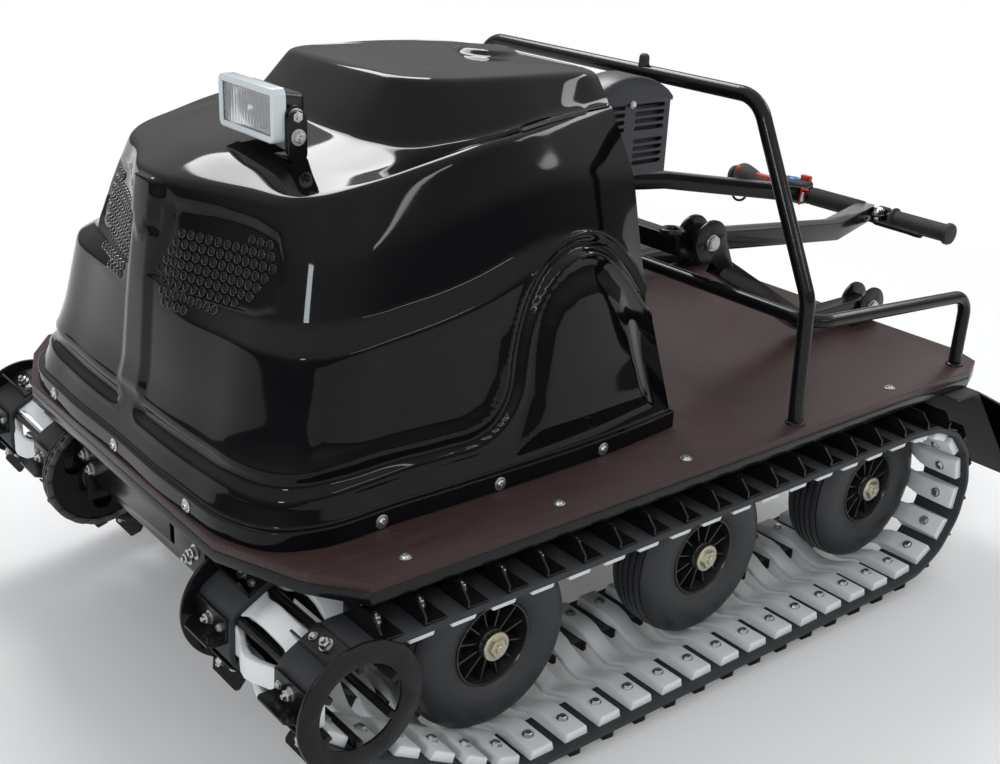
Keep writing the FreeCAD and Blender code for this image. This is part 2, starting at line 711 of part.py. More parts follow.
def chassis():
    """Two long beams that carry the wheels, their cross beams and posts up to the deck."""
    front = FIRST_AXLE_Y - 2.0 * AXLE_COLLAR_RADIUS
    rear = LAST_AXLE_Y + 2.0 * AXLE_COLLAR_RADIUS
    low = BEAM_Z - BEAM_HEIGHT / 2.0
    high = BEAM_Z + BEAM_HEIGHT / 2.0
    shapes = []
    for x in (-BEAM_X, BEAM_X):
        shapes.append(box(x - BEAM_WIDTH / 2.0, x + BEAM_WIDTH / 2.0, front, rear, low, high))
        for y in axle_positions():
            shapes.append(box(x - POST_SIZE / 2.0, x + POST_SIZE / 2.0, y - POST_SIZE / 2.0,
                              y + POST_SIZE / 2.0, high, FRAME_UNDER_Z))
    for y in axle_positions():
        shapes.append(box(-BEAM_X, BEAM_X, y - CROSS_BEAM_SIZE / 2.0, y + CROSS_BEAM_SIZE / 2.0,
                          BEAM_Z - CROSS_BEAM_SIZE / 2.0, BEAM_Z + CROSS_BEAM_SIZE / 2.0))
    return {"chassis_frame": fuse(shapes)}


def front_guard():
    """The plate under the deck's front edge, the guard behind it and the axle brackets."""
    half = GUARD_PLATE_HALF
    thick = GUARD_PLATE_THICK
    plate_y = DECK_FRONT_Y + GUARD_BOX_SIZE / 2.0
    plate_low = DRUM_Z + DRUM_HUB_RADIUS
    plate = box(-half, half, plate_y, plate_y + thick, plate_low, FRAME_UNDER_Z)
    slot_x = half / 2.0
    slot_z = plate_low + SLOT_WIDTH
    plate = plate.cut(box(slot_x, slot_x + SLOT_WIDTH, plate_y, plate_y + thick,
                          slot_z, slot_z + SLOT_LENGTH))
    guard_y = DRUM_Y + DRIVE_AXLE_RADIUS + AXLE_COLLAR_RADIUS / 2.0
    inside = half - BRACKET_THICK
    guard = box(-inside, inside, guard_y, guard_y + thick, plate_low - GUARD_BOX_SIZE, FRAME_UNDER_Z)
    reach = 2.0 * DRIVE_AXLE_RADIUS
    outline = [
        (plate_y + thick, FRAME_UNDER_Z), (FIRST_AXLE_Y - WHEEL_PATH_RADIUS, FRAME_UNDER_Z),
        (DRUM_Y + reach, DRUM_Z - reach), (plate_y + thick, DRUM_Z - reach),
    ]
    bracket = side_prism(outline, inside, half)
    bracket = bracket.cut(cylinder(V(inside, DRUM_Y, DRUM_Z), V(half, DRUM_Y, DRUM_Z), DRIVE_AXLE_RADIUS))
    return {"front_plate": plate, "front_guard": guard, "axle_brackets": both_sides(bracket)}


# ================================================================ hood
# Rings of points on the hood's left half, each from the nose back to the open
# rear. A point is (across, forward, up), as shares of the half width, the
# length before the rear edge and the height over the deck.
HOOD_RINGS = [
    # foot of the band
    [(0.000, 1.000, 0.000), (0.503, 1.000, 0.000), (0.838, 0.976, 0.000), (0.972, 0.914, 0.000),
     (1.000, 0.729, 0.000), (1.006, 0.371, 0.000), (0.958, 0.000, 0.000)],
    # top of the band
    [(0.000, 1.000, 0.050), (0.503, 1.000, 0.050), (0.838, 0.976, 0.050), (0.972, 0.914, 0.050),
     (1.000, 0.729, 0.050), (1.000, 0.371, 0.050), (0.953, 0.000, 0.050)],
    # foot of the body
    [(0.000, 0.988, 0.050), (0.494, 0.988, 0.050), (0.824, 0.966, 0.050), (0.950, 0.908, 0.050),
     (0.978, 0.729, 0.050), (0.978, 0.371, 0.050), (0.930, 0.000, 0.050)],
    # lower body
    [(0.000, 0.946, 0.234), (0.475, 0.940, 0.234), (0.799, 0.914, 0.234), (0.911, 0.857, 0.234),
     (0.936, 0.714, 0.234), (0.933, 0.371, 0.234), (0.830, 0.000, 0.234)],
    # edge of the shelf
    [(0.000, 0.933, 0.412), (0.447, 0.914, 0.431), (0.793, 0.875, 0.437), (0.888, 0.812, 0.441),
     (0.899, 0.669, 0.451), (0.872, 0.371, 0.482), (0.749, 0.000, 0.412)],
    # back of the shelf
    [(0.000, 0.928, 0.482), (0.413, 0.890, 0.482), (0.732, 0.836, 0.482), (0.816, 0.768, 0.487),
     (0.838, 0.639, 0.507), (0.821, 0.371, 0.565), (0.690, 0.000, 0.540)],
    # bonnet's edge
    [(0.000, 0.902, 0.745), (0.391, 0.830, 0.745), (0.631, 0.770, 0.756), (0.709, 0.699, 0.766),
     (0.726, 0.550, 0.789), (0.687, 0.297, 0.797), (0.615, 0.000, 0.733)],
    # bonnet's middle
    [(0.000, 0.788, 0.807), (0.291, 0.759, 0.803), (0.492, 0.699, 0.797), (0.592, 0.630, 0.805),
     (0.631, 0.520, 0.822), (0.609, 0.297, 0.830), (0.567, 0.000, 0.797)],
    # foot of the bulge
    [(0.000, 0.595, 0.863), (0.291, 0.589, 0.857), (0.447, 0.556, 0.843), (0.536, 0.514, 0.839),
     (0.570, 0.431, 0.847), (0.559, 0.297, 0.859), (0.517, 0.000, 0.861)],
    # top edge of the bulge
    [(0.000, 0.499, 0.971), (0.212, 0.496, 0.954), (0.296, 0.478, 0.940), (0.335, 0.446, 0.936),
     (0.346, 0.371, 0.936), (0.346, 0.222, 0.940), (0.380, 0.000, 0.942)],
    # crown
    [(0.000, 0.416, 1.000), (0.112, 0.413, 0.996), (0.162, 0.398, 0.990), (0.179, 0.371, 0.988),
     (0.184, 0.311, 0.990), (0.184, 0.192, 0.994), (0.196, 0.000, 0.967)],
]


FOOT_RING = 2               # the ring at the body's foot
SHELF_RING = 5              # the ring along the back of the shelf
BONNET_RING = 7             # the ring along the middle of the bonnet's rise


def hood_points():
    """The rings as points in the vehicle's frame."""
    rings = []
    for ring in HOOD_RINGS:
        rings.append([V(x * HOOD_HALF_WIDTH, HOOD_REAR_Y - y * HOOD_LENGTH, DECK_TOP_Z + z * HOOD_HEIGHT)
                      for x, y, z in ring])
    return rings


def ring_faces(rings):
    """Three-cornered faces between neighbouring rings of the left half."""
    faces = []
    for lower, upper in zip(rings, rings[1:]):
        for a, b, c, d in zip(lower, lower[1:], upper[1:], upper):
            faces.append((a, b, c))
            faces.append((a, c, d))
    return faces


def inner_rings(rings, wall):
    """The rings moved inwards by the wall, and out past the open ends."""
    faces = ring_faces(rings)
    result = []
    for ring in rings:
        moved_ring = []
        for point in ring:
            normal = V(0, 0, 0)
            for a, b, c in faces:
                if point in (a, b, c):
                    normal += (b - a).cross(c - a).normalize()
            if point.x == 0.0:
                normal.x = 0.0
            inner = point - normal.normalize() * wall
            if point is ring[-1]:
                inner.y = HOOD_REAR_Y + wall
            if ring is rings[0]:
                inner.z = DECK_TOP_Z - wall
            moved_ring.append(inner)
        result.append(moved_ring)
    return result


def mirror_point(point):
    """A point on the vehicle's other side."""
    return V(-point.x, point.y, point.z)


def ring_solid(rings):
    """A closed solid from the left half's rings, their mirror image and flat ends."""
    faces = []
    for corners in ring_faces(rings):
        faces.append(flat_face(list(corners)))
        faces.append(flat_face([mirror_point(corner) for corner in reversed(corners)]))
    top = rings[-1]
    faces.append(flat_face([top[0], top[1], mirror_point(top[1])]))
    for first, second in zip(top[1:], top[2:]):
        faces.append(flat_face([first, second, mirror_point(second), mirror_point(first)]))
    rear = [ring[-1] for ring in rings]
    faces.append(flat_face(rear + [mirror_point(point) for point in reversed(rear)]))
    base = rings[0]
    faces.append(flat_face(base + [mirror_point(point) for point in reversed(base[1:])]))
    return Part.makeSolid(Part.makeShell(faces))


def nose_rib(rings):
    """The rib down the nose, with the bare badge plate at its head."""
    nose = [ring[0] for ring in rings[FOOT_RING:BONNET_RING]]
    inside = HOOD_WALL / 2.0
    outline = [(point.y - NOSE_RIB_RISE, point.z) for point in nose]
    outline += [(point.y + inside, point.z) for point in reversed(nose)]
    rib = side_prism(outline, -NOSE_RIB_HALF, NOSE_RIB_HALF)
    low, high = nose[-2], nose[-1]
    corners = []
    for across, up in ((0.0, 0.0), (0.7, 0.3), (1.0, 0.7), (0.9, 1.0)):
        centre = low + (high - low) * up
        corners.append(V(BADGE_HALF_WIDTH * across, centre.y, centre.z))
    corners += [mirror_point(corner) for corner in reversed(corners[1:])]
    front = [corner - V(0, BADGE_RISE, 0) for corner in corners]
    back = [corner + V(0, inside, 0) for corner in corners]
    return rib.fuse(between(front, back))


def vent_holes(rings):
    """Rows of holes through each front face, staggered, inside an oval."""
    low, high = rings[SHELF_RING][1], rings[SHELF_RING + 1][1]
    far = rings[SHELF_RING + 1][2]
    middle = (low + high) / 2.0
    half_height = (high.z - low.z) * VENT_REACH
    near_x = VENT_NOSE_GAP
    half_width = (far.x - near_x) / 2.0
    middle_x = near_x + half_width
    across = (far - rings[SHELF_RING + 1][0]).normalize()
    up = (high - low).normalize()
    through = up.cross(across).normalize() * (HOOD_HALF_WIDTH / 4.0)
    row_pitch = VENT_PITCH * math.cos(math.pi / 6.0)
    rows = int(half_height / row_pitch)
    columns = int(half_width / VENT_PITCH)
    holes = []
    for row in range(-rows, rows + 1):
        stagger = VENT_PITCH / 2.0 * (row % 2)
        for column in range(-columns, columns + 1):
            x = column * VENT_PITCH + stagger
            z = row * row_pitch
            if math.hypot(x / half_width, z / half_height) > 1.0:
                continue
            centre = V(middle_x + x, middle.y, middle.z + z)
            ends = []
            for end in (-1.0, 1.0):
                ring = []
                for side in range(VENT_SIDES):
                    angle = 2.0 * math.pi * side / VENT_SIDES
                    spoke = across * math.cos(angle) + up * math.sin(angle)
                    ring.append(centre + through * end + spoke * VENT_HOLE_RADIUS)
                ends.append(ring)
            holes.append(between(ends[0], ends[1]))
    return both_sides(Part.Compound(holes))


def hood():
    """The moulded hood: a hollow shell, open below and at the rear."""
    rings = hood_points()
    hollow = ring_solid(inner_rings(rings, HOOD_WALL))
    shell = ring_solid(rings).fuse(nose_rib(rings)).cut(hollow)
    return {"hood": shell.cut(vent_holes(rings))}


# ================================================================ engine, lamp
def engine():
    """The engine as a plain block, with its silencer and its louvred guard."""
    rear = ENGINE_REAR_Y
    top = DECK_TOP_Z + ENGINE_HEIGHT
    block = box(-ENGINE_WIDTH / 2.0, ENGINE_WIDTH / 2.0, rear - ENGINE_LENGTH, rear, DECK_TOP_Z, top)
    return {"engine_block": block, "silencer": silencer(), "muffler_guard": muffler_guard()}


def rounded_rear(x0, x1, y0, y1, z0, z1, radius):
    """A box whose rear face has rounded edges."""
    shape = box(x0, x1, y0, y1, z0, z1)
    return shape.makeFillet(radius, [edge for edge in shape.Edges if edge.BoundBox.YMin > y1 - THROUGH])


def arched(y0, y1, z0, z1, rise):
    """A side view outline with straight sides and an arched top."""
    outline = [(y0, z0), (y1, z0)]
    for count in range(CAP_STEPS + 1):
        share = count / CAP_STEPS
        outline.append((y1 + (y0 - y1) * share, z1 + rise * math.sin(math.pi * share)))
    return outline


def silencer():
    """The silencer behind its guard, on a neck from the engine."""
    x0 = GUARD_X - GUARD_DEPTH
    x1 = GUARD_X - SILENCER_GAP
    y0 = GUARD_FRONT_Y + SILENCER_GAP
    y1 = GUARD_FRONT_Y + GUARD_LENGTH - SILENCER_GAP
    z0 = GUARD_Z + GUARD_WALL
    z1 = GUARD_Z + GUARD_HEIGHT - SILENCER_GAP
    neck_z = z0 + NECK_LIFT
    neck = box(x0 - NECK_WIDTH, x0, ENGINE_REAR_Y, y0 + NECK_LAP, neck_z, neck_z + NECK_HEIGHT)
    return box(x0, x1, y0, y1, z0, z1).fuse(neck)


def muffler_guard():
    """The louvred guard over the silencer, open on its inner side."""
    x0 = GUARD_X - GUARD_DEPTH
    y0 = GUARD_FRONT_Y
    y1 = y0 + GUARD_LENGTH
    z1 = GUARD_Z + GUARD_HEIGHT
    wall = GUARD_WALL
    outer = side_prism(arched(y0, y1, GUARD_Z, z1, GUARD_CAP_RISE), x0, GUARD_X)
    inner = side_prism(arched(y0 + wall, y1 - wall, GUARD_Z + wall, z1 - wall, GUARD_CAP_RISE),
                       x0 - wall, GUARD_X - wall)
    middle = (y0 + y1) / 2.0
    slots = []
    for row in LOUVRE_ROWS:
        z = GUARD_Z + LOUVRE_LOWEST + row
        for start, end in ((y0 + LOUVRE_MARGIN, middle - LOUVRE_RIB / 2.0),
                           (middle + LOUVRE_RIB / 2.0, y1 - LOUVRE_MARGIN)):
            slots.append(box(GUARD_X - 2.0 * wall, GUARD_X + wall, start, end, z, z + LOUVRE_HEIGHT))
    return outer.cut(inner).cut(Part.Compound(slots))


def head_lamp():
    """One rectangular head lamp on an upright bracket that stands on the hood."""
    bonnet = hood_points()[BONNET_RING][0]
    half = LAMP_WIDTH / 2.0
    front = bonnet.y + LAMP_BEHIND
    rear = front + LAMP_DEPTH
    low = bonnet.z + LAMP_GAP
    high = low + LAMP_HEIGHT
    body = rounded_rear(LAMP_X - half, LAMP_X + half, front, rear, low, high, LAMP_DEPTH / 4.0)
    lens = box(LAMP_X - half, LAMP_X + half, front - LAMP_LENS_THICK, front, low, high)
    x0 = LAMP_X + half
    y0 = (front + rear - LAMP_BRACKET_WIDTH) / 2.0
    upright = box(x0, x0 + LAMP_BRACKET_THICK, y0, y0 + LAMP_BRACKET_WIDTH,
                  low - LAMP_HEIGHT, high - LAMP_HEIGHT / 4.0)
    upright = upright.cut(ring_solid(hood_points()))
    upright = max(upright.Solids, key=lambda solid: solid.BoundBox.ZMax)
    return {"lamp_body": body, "lamp_lens": lens, "lamp_bracket": upright}


# ================================================================ hoop and rail
def hoop_and_rail():
    """The tall hoop behind the hood, the cargo rail behind it and their foot plates."""
    z = DECK_TOP_Z
    right = [
        V(HOOP_FOOT_X, HOOP_Y, z - HOOP_RADIUS), V(HOOP_KNEE_X, HOOP_Y, HOOP_KNEE_Z),
        V(HOOP_TOP_X, HOOP_Y, HOOP_TOP_Z),
    ]
    points = right + [V(-p.x, p.y, p.z) for p in reversed(right)]
    hoop = round_tube(points, HOOP_RADIUS, HOOP_BEND)
    reach = HOOP_FOOT_X + 2.0 * HOOP_RADIUS
    hoop = hoop.cut(box(-reach, reach, HOOP_Y - 2.0 * HOOP_RADIUS, HOOP_Y + 2.0 * HOOP_RADIUS, 0.0, z))
    rail_y = HOOP_Y + HOOP_RADIUS + RAIL_RADIUS
    side = [V(RAIL_X, RAIL_REAR_Y, z), V(RAIL_X, RAIL_REAR_Y, RAIL_REAR_Z), V(RAIL_X, rail_y, RAIL_FRONT_Z)]
    points = side + [V(-p.x, p.y, p.z) for p in reversed(side)]
    rail = round_tube(points, RAIL_RADIUS, RAIL_BEND)
    top = HOOP_TOP_Z + HOOP_RADIUS
    clip = box(CLIP_X - CLIP_WIDTH / 2.0, CLIP_X + CLIP_WIDTH / 2.0, HOOP_Y - HOOP_RADIUS,
               HOOP_Y + HOOP_RADIUS, top, top + CLIP_HEIGHT)
    return {"hoop": hoop, "cargo_rail": rail, "hoop_clip": clip}


# ================================================================ handle
def disc_plate(x0, x1, y, z, foot):
    """A round-topped plate with a foot that reaches a point below it."""
    round_part = cylinder(V(x0, y, z), V(x1, y, z), PLATE_RADIUS)
    foot_y, foot_z, foot_half = foot
    outline = [
        (y - PLATE_RADIUS, z), (y + PLATE_RADIUS, z),
        (foot_y + foot_half, foot_z), (foot_y - foot_half, foot_z),
    ]
    return round_part.fuse(side_prism(outline, x0, x1)).removeSplitter()


def hinge_plates(y, z, foot):
    """Two plates, one each side of an arm, with a hole for the pin."""
    gap = ARM_SIZE / 2.0 + PLATE_CLEARANCE
    plates = []
    for x0 in (ARM_X + gap, ARM_X - gap - PLATE_THICK):
        plate = disc_plate(x0, x0 + PLATE_THICK, y, z, foot)
        hole = cylinder(V(x0, y, z), V(x0 + PLATE_THICK, y, z), PIN_RADIUS)
        plates.append(plate.cut(hole))
    return plates


def pin(y, z):
    """A hinge bolt through two plates, with its head and nut outside them."""
    reach = ARM_SIZE / 2.0 + PLATE_CLEARANCE + PLATE_THICK
    shaft = cylinder(V(ARM_X - reach, y, z), V(ARM_X + reach, y, z), PIN_RADIUS)
    head = cylinder(V(ARM_X + reach, y, z), V(ARM_X + reach + PIN_HEAD, y, z), PIN_HEAD_RADIUS)
    nut = cylinder(V(ARM_X - reach - PIN_HEAD, y, z), V(ARM_X - reach, y, z), PIN_HEAD_RADIUS)
    return fuse([shaft, head, nut])


def pin_hole(y, z):
    """The hole in an arm for its hinge bolt."""
    half = ARM_SIZE / 2.0 + THROUGH
    return cylinder(V(ARM_X - half, y, z), V(ARM_X + half, y, z), PIN_RADIUS + PIN_CLEARANCE)


def arm_end(y, z):
    """The rounded end of an arm about its pin."""
    half = ARM_SIZE / 2.0
    return cylinder(V(ARM_X - half, y, z), V(ARM_X + half, y, z), half)


def lower_frame():
    """The lower folding frame: two bent arms, a cross tube and the knee plates."""
    rear_pin = V(ARM_X, REAR_PIN_Y, REAR_PIN_Z)
    bend = V(ARM_X, LOWER_BEND_Y, REAR_PIN_Z)
    top = V(ARM_X, LOWER_TOP_Y, LOWER_TOP_Z)
    arm = square_tube([rear_pin, bend, top], ARM_SIZE)
    arm = arm.fuse(arm_end(REAR_PIN_Y, REAR_PIN_Z)).cut(pin_hole(REAR_PIN_Y, REAR_PIN_Z))
    half = ARM_SIZE / 2.0
    cross_end = ARM_X - half - PLATE_CLEARANCE - PLATE_THICK
    cross = box(-cross_end, cross_end, CROSS_TUBE_Y - half, CROSS_TUBE_Y + half,
                CROSS_TUBE_Z - half, CROSS_TUBE_Z + half)
    plates = hinge_plates(KNEE_PIN_Y, KNEE_PIN_Z, (LOWER_TOP_Y, LOWER_TOP_Z, half))
    eye_y = KNEE_PIN_Y - PLATE_RADIUS - EYE_RADIUS + EYE_WIRE / 2.0
    eye_x = ARM_X - ARM_SIZE / 2.0 - PLATE_CLEARANCE - PLATE_THICK / 2.0
    eye = Part.makeTorus(EYE_RADIUS, EYE_WIRE, V(eye_x, eye_y, KNEE_PIN_Z + EYE_RADIUS), V(0, 0, 1))
    eye = eye.cut(Part.Compound(plates))
    return {
        "lower_arms": both_sides(arm.removeSplitter()), "handle_cross_tube": cross,
        "knee_plates": Part.Compound(plates + [mirrored(plate) for plate in plates]),
        "knee_bolts": both_sides(pin(KNEE_PIN_Y, KNEE_PIN_Z)), "tie_eyes": both_sides(eye),
    }


def rear_hinge():
    """The plates and bolts at the deck's rear edge that carry the lower frame."""
    foot = (REAR_PIN_Y - PLATE_RADIUS / 2.0, DECK_TOP_Z, PLATE_RADIUS)
    below = box(0.0, DECK_HALF_WIDTH, REAR_PIN_Y - 2.0 * PLATE_RADIUS, REAR_PIN_Y + 2.0 * PLATE_RADIUS,
                FRAME_UNDER_Z, DECK_TOP_Z)
    plates = [plate.cut(below) for plate in hinge_plates(REAR_PIN_Y, REAR_PIN_Z, foot)]
    return {
        "rear_hinge_plates": Part.Compound(plates + [mirrored(plate) for plate in plates]),
        "rear_hinge_bolts": both_sides(pin(REAR_PIN_Y, REAR_PIN_Z)),
    }


def upper_frame():
    """The upper arms, which close in towards the handlebar, and what is on it."""
    knee = V(ARM_X, KNEE_PIN_Y, KNEE_PIN_Z)
    bend = V(ARM_X, ARM_BEND_Y, ARM_BEND_Z)
    end = V(ARM_END_X, BAR_Y, BAR_Z)
    arm = square_tube([knee, bend, end], ARM_SIZE)
    arm = arm.fuse(arm_end(KNEE_PIN_Y, KNEE_PIN_Z)).cut(pin_hole(KNEE_PIN_Y, KNEE_PIN_Z))
    arm = arm.cut(cylinder(V(-BAR_HALF, BAR_Y, BAR_Z), V(BAR_HALF, BAR_Y, BAR_Z), BAR_RADIUS))
    handlebar = cylinder(V(-BAR_HALF, BAR_Y, BAR_Z), V(BAR_HALF, BAR_Y, BAR_Z), BAR_RADIUS)
    grip_in = GRIP_INNER_X
    grip = cylinder(V(grip_in, BAR_Y, BAR_Z), V(BAR_HALF + GRIP_FLANGE, BAR_Y, BAR_Z), GRIP_RADIUS)
    flange = cylinder(V(BAR_HALF, BAR_Y, BAR_Z), V(BAR_HALF + GRIP_FLANGE, BAR_Y, BAR_Z), GRIP_FLANGE_RADIUS)
    grip = grip.fuse(flange).removeSplitter()
    grip = grip.cut(cylinder(V(grip_in, BAR_Y, BAR_Z), V(BAR_HALF, BAR_Y, BAR_Z), BAR_RADIUS))
    return {
        "upper_arms": both_sides(arm.removeSplitter()), "handlebar": handlebar, "grips": both_sides(grip),
        "brake_lever": brake_lever(), "switch_box": switch_box(),
    }


def brake_lever():
    """The clamp on the handlebar's left half and the lever before the grip."""
    clamp = pipe(V(CLAMP_X, BAR_Y, BAR_Z), V(CLAMP_X + CLAMP_WIDTH, BAR_Y, BAR_Z), CLAMP_RADIUS, BAR_RADIUS)
    near = BAR_Y - CLAMP_RADIUS + LEVER_THICK / 2.0
    far = BAR_Y - LEVER_REACH
    knee = CLAMP_X + CLAMP_WIDTH + LEVER_REACH - CLAMP_RADIUS
    outline = [
        (CLAMP_X + LEVER_THICK, near), (CLAMP_X + CLAMP_WIDTH, near), (knee, far + LEVER_THICK),
        (LEVER_END_X, far + LEVER_THICK), (LEVER_END_X, far), (knee - LEVER_THICK, far),
    ]
    blade = plan_prism(outline, BAR_Z - LEVER_WIDTH / 2.0, BAR_Z + LEVER_WIDTH / 2.0)
    return fuse([clamp, blade])


def switch_box():
    """The switch box on the handlebar's right half."""
    half = SWITCH_SIZE / 2.0
    far = -SWITCH_X - SWITCH_WIDTH
    body = box(far, -SWITCH_X, BAR_Y - half, BAR_Y + half, BAR_Z - half, BAR_Z + half)
    return body.cut(cylinder(V(far, BAR_Y, BAR_Z), V(-SWITCH_X, BAR_Y, BAR_Z), BAR_RADIUS))


# ================================================================ tow hitch
def tow_hitch():
    """An angle bracket under the deck's rear edge, with an upright hole for a sled's pin."""
    half = HITCH_WIDTH / 2.0
    low = FRAME_UNDER_Z - HITCH_DROP
    upright = box(-half, half, DECK_REAR_Y - HITCH_THICK, DECK_REAR_Y, low, FRAME_UNDER_Z)
    tongue = box(-half, half, DECK_REAR_Y - HITCH_THICK, DECK_REAR_Y + HITCH_REACH, low, low + HITCH_THICK)
    bore_y = DECK_REAR_Y + HITCH_REACH - 2.5 * HITCH_BORE_RADIUS
    bore = cylinder(V(0, bore_y, low), V(0, bore_y, low + HITCH_THICK), HITCH_BORE_RADIUS)
    return {"tow_hitch": fuse([upright, tongue]).cut(bore)}


# ================================================================ mud flaps
def mud_flaps():
    """A curved flap behind and above the rear end of each track."""
    top_y = DECK_REAR_Y - DECK_REAR_CORNER
    outline = [
        (top_y - FLAP_LAP, FRAME_UNDER_Z), (top_y, FRAME_UNDER_Z),
        (top_y + FLAP_KNEE_Y, FRAME_UNDER_Z - FLAP_KNEE_Z), (top_y + FLAP_REACH, FRAME_UNDER_Z - FLAP_DROP),
    ]
    under = [(y, z - FLAP_THICK) for y, z in reversed(outline)]
    left = side_prism(outline + under, FLAP_INNER_X, FLAP_OUTER_X)
    return {"mud_flap_left": left, "mud_flap_right": mirrored(left)}


def build():
    """Every node of the vehicle."""
    nodes = {}
    makers = (tracks, wheels, drive, deck, chassis, front_guard, hood, engine, head_lamp,
              hoop_and_rail, rear_hinge, lower_frame, upper_frame, tow_hitch, mud_flaps)
    for maker in makers:
        nodes.update(maker())
    return nodes


def main():
    """Build, centre on the ground under the middle and write the files."""
    nodes = build()
    whole = Part.Compound(list(nodes.values())).BoundBox
    shift = V(0, -(whole.YMin + whole.YMax) / 2.0, -whole.ZMin)
    print("moved by", shift)
    os.makedirs("parts", exist_ok=True)
    for name, shape in nodes.items():
        shape.translate(shift)
        shape.exportStep(os.path.join("parts", name + ".step"))
        print(name, len(shape.Solids), shape.isValid(), round(shape.Volume / 1000.0, 1))


main()
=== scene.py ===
# %% [markdown]
# # A tracked snow towing vehicle
# A small engine on rubber belts pulls a sled and its driver over snow. The CAD
# solids fix every size and joint. This file dresses them: it replaces the plain
# forms with finished ones, and gives each surface the finish that it has in use.
# Places are written in millimetres from the middle axle's place on the ground, and
# `at` turns them into the metres that Blender works in.

# %% Load the frame
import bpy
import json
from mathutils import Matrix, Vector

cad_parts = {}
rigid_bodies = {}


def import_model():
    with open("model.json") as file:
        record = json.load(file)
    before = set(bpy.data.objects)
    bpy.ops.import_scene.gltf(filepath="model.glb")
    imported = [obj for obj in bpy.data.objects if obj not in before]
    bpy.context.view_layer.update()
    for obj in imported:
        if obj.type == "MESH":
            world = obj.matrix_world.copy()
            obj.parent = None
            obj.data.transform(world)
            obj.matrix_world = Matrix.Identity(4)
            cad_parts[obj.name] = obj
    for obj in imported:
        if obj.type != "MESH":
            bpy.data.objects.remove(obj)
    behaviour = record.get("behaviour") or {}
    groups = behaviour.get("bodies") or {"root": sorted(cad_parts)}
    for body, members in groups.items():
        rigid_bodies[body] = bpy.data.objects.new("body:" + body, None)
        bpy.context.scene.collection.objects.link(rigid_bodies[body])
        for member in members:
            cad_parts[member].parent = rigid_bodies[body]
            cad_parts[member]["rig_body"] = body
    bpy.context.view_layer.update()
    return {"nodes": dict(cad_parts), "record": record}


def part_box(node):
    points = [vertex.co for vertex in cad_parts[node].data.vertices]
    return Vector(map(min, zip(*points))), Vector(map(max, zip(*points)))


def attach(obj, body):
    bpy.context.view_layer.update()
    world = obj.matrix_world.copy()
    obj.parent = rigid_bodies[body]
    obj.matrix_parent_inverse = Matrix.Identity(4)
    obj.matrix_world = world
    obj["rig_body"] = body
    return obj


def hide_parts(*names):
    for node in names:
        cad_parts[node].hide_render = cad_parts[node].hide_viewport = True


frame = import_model()
import json
import math
import random

import bmesh
import bpy
from mathutils import Matrix, Vector, kdtree
from mathutils.bvhtree import BVHTree

random.seed(7)

# %% [markdown]
# The three wheels on one side stand evenly about the middle axle, so the middle
# of their box is where the measurements start.

# %% Millimetres to metres
wheels_low, wheels_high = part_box("tyres_left")
MIDDLE_AXLE_Y = (wheels_low[1] + wheels_high[1]) / 2.0


def at(x, y, z):
    """A place on the vehicle, from millimetres about the middle axle."""
    return Vector((x / 1000.0, y / 1000.0 + MIDDLE_AXLE_Y, z / 1000.0))


print("middle axle at y =", round(MIDDLE_AXLE_Y, 4))

# %% [markdown]
# Each piece goes the same way: a bmesh becomes a mesh, takes its material, is
# shaded smooth except at its sharp edges, and is told which body carries it; the
# CAD nodes that it replaces are hidden. One helper does that for all of them.

# %% Finish a piece
PIECES = []


def finish_piece(bm, name, material, body="root", replaces=(), sharp=35.0):
    """Turn a bmesh into a finished object of the vehicle."""
    mesh = bpy.data.meshes.new(name)
    bm.to_mesh(mesh)
    bm.free()
    return finish_mesh(mesh, name, material, body, replaces, sharp)


def finish_mesh(mesh, name, material, body="root", replaces=(), sharp=35.0):
    """Give a mesh its object, shading, material and place among the bodies."""
    mesh.shade_smooth()
    mesh.set_sharp_from_angle(angle=math.radians(sharp))
    mesh.materials.clear()
    mesh.materials.append(material)
    piece = bpy.data.objects.new(name, mesh)
    bpy.context.scene.collection.objects.link(piece)
    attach(piece, body)
    if replaces:
        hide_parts(*replaces)
    PIECES.append(piece)
    print(name, len(mesh.polygons), "faces")
    return piece


# %% [markdown]
# Most small parts are blocks with soft edges, round bars, turned forms and bolts.
# These helpers make them inside a bmesh that is already open, from Blender's own
# shapes, so that one piece can hold many of them.

# %% Blocks and bars
def turned_to(direction):
    """A turn that takes the Z axis to a direction."""
    return Vector(direction).to_track_quat("Z", "Y").to_matrix().to_4x4()


def round_edges(bm, edges, radius, segments=2, **settings):
    """Round edges to a radius in millimetres."""
    bmesh.ops.bevel(
        bm, geom=list(edges), offset=radius / 1000.0, offset_type="OFFSET",
        segments=segments, profile=0.5, affect="EDGES", material=-1, **settings)


def points_of(made):
    """The vertices among what an operator made."""
    return [part for part in made["geom"] if isinstance(part, bmesh.types.BMVert)]


def add_block(bm, low, high, radius=1.5, segments=2, turn=None):
    """A block between two corners, with its edges rounded."""
    low, high = Vector(low), Vector(high)
    size = (high - low) / 1000.0
    centre = at(*((low + high) / 2.0))
    matrix = Matrix.Translation(centre) @ (turn or Matrix()) @ Matrix.Diagonal((*size, 1.0))
    made = bmesh.ops.create_cube(bm, size=1.0, matrix=matrix)
    edges = {edge for vert in made["verts"] for edge in vert.link_edges}
    round_edges(bm, edges, radius, segments, clamp_overlap=True)


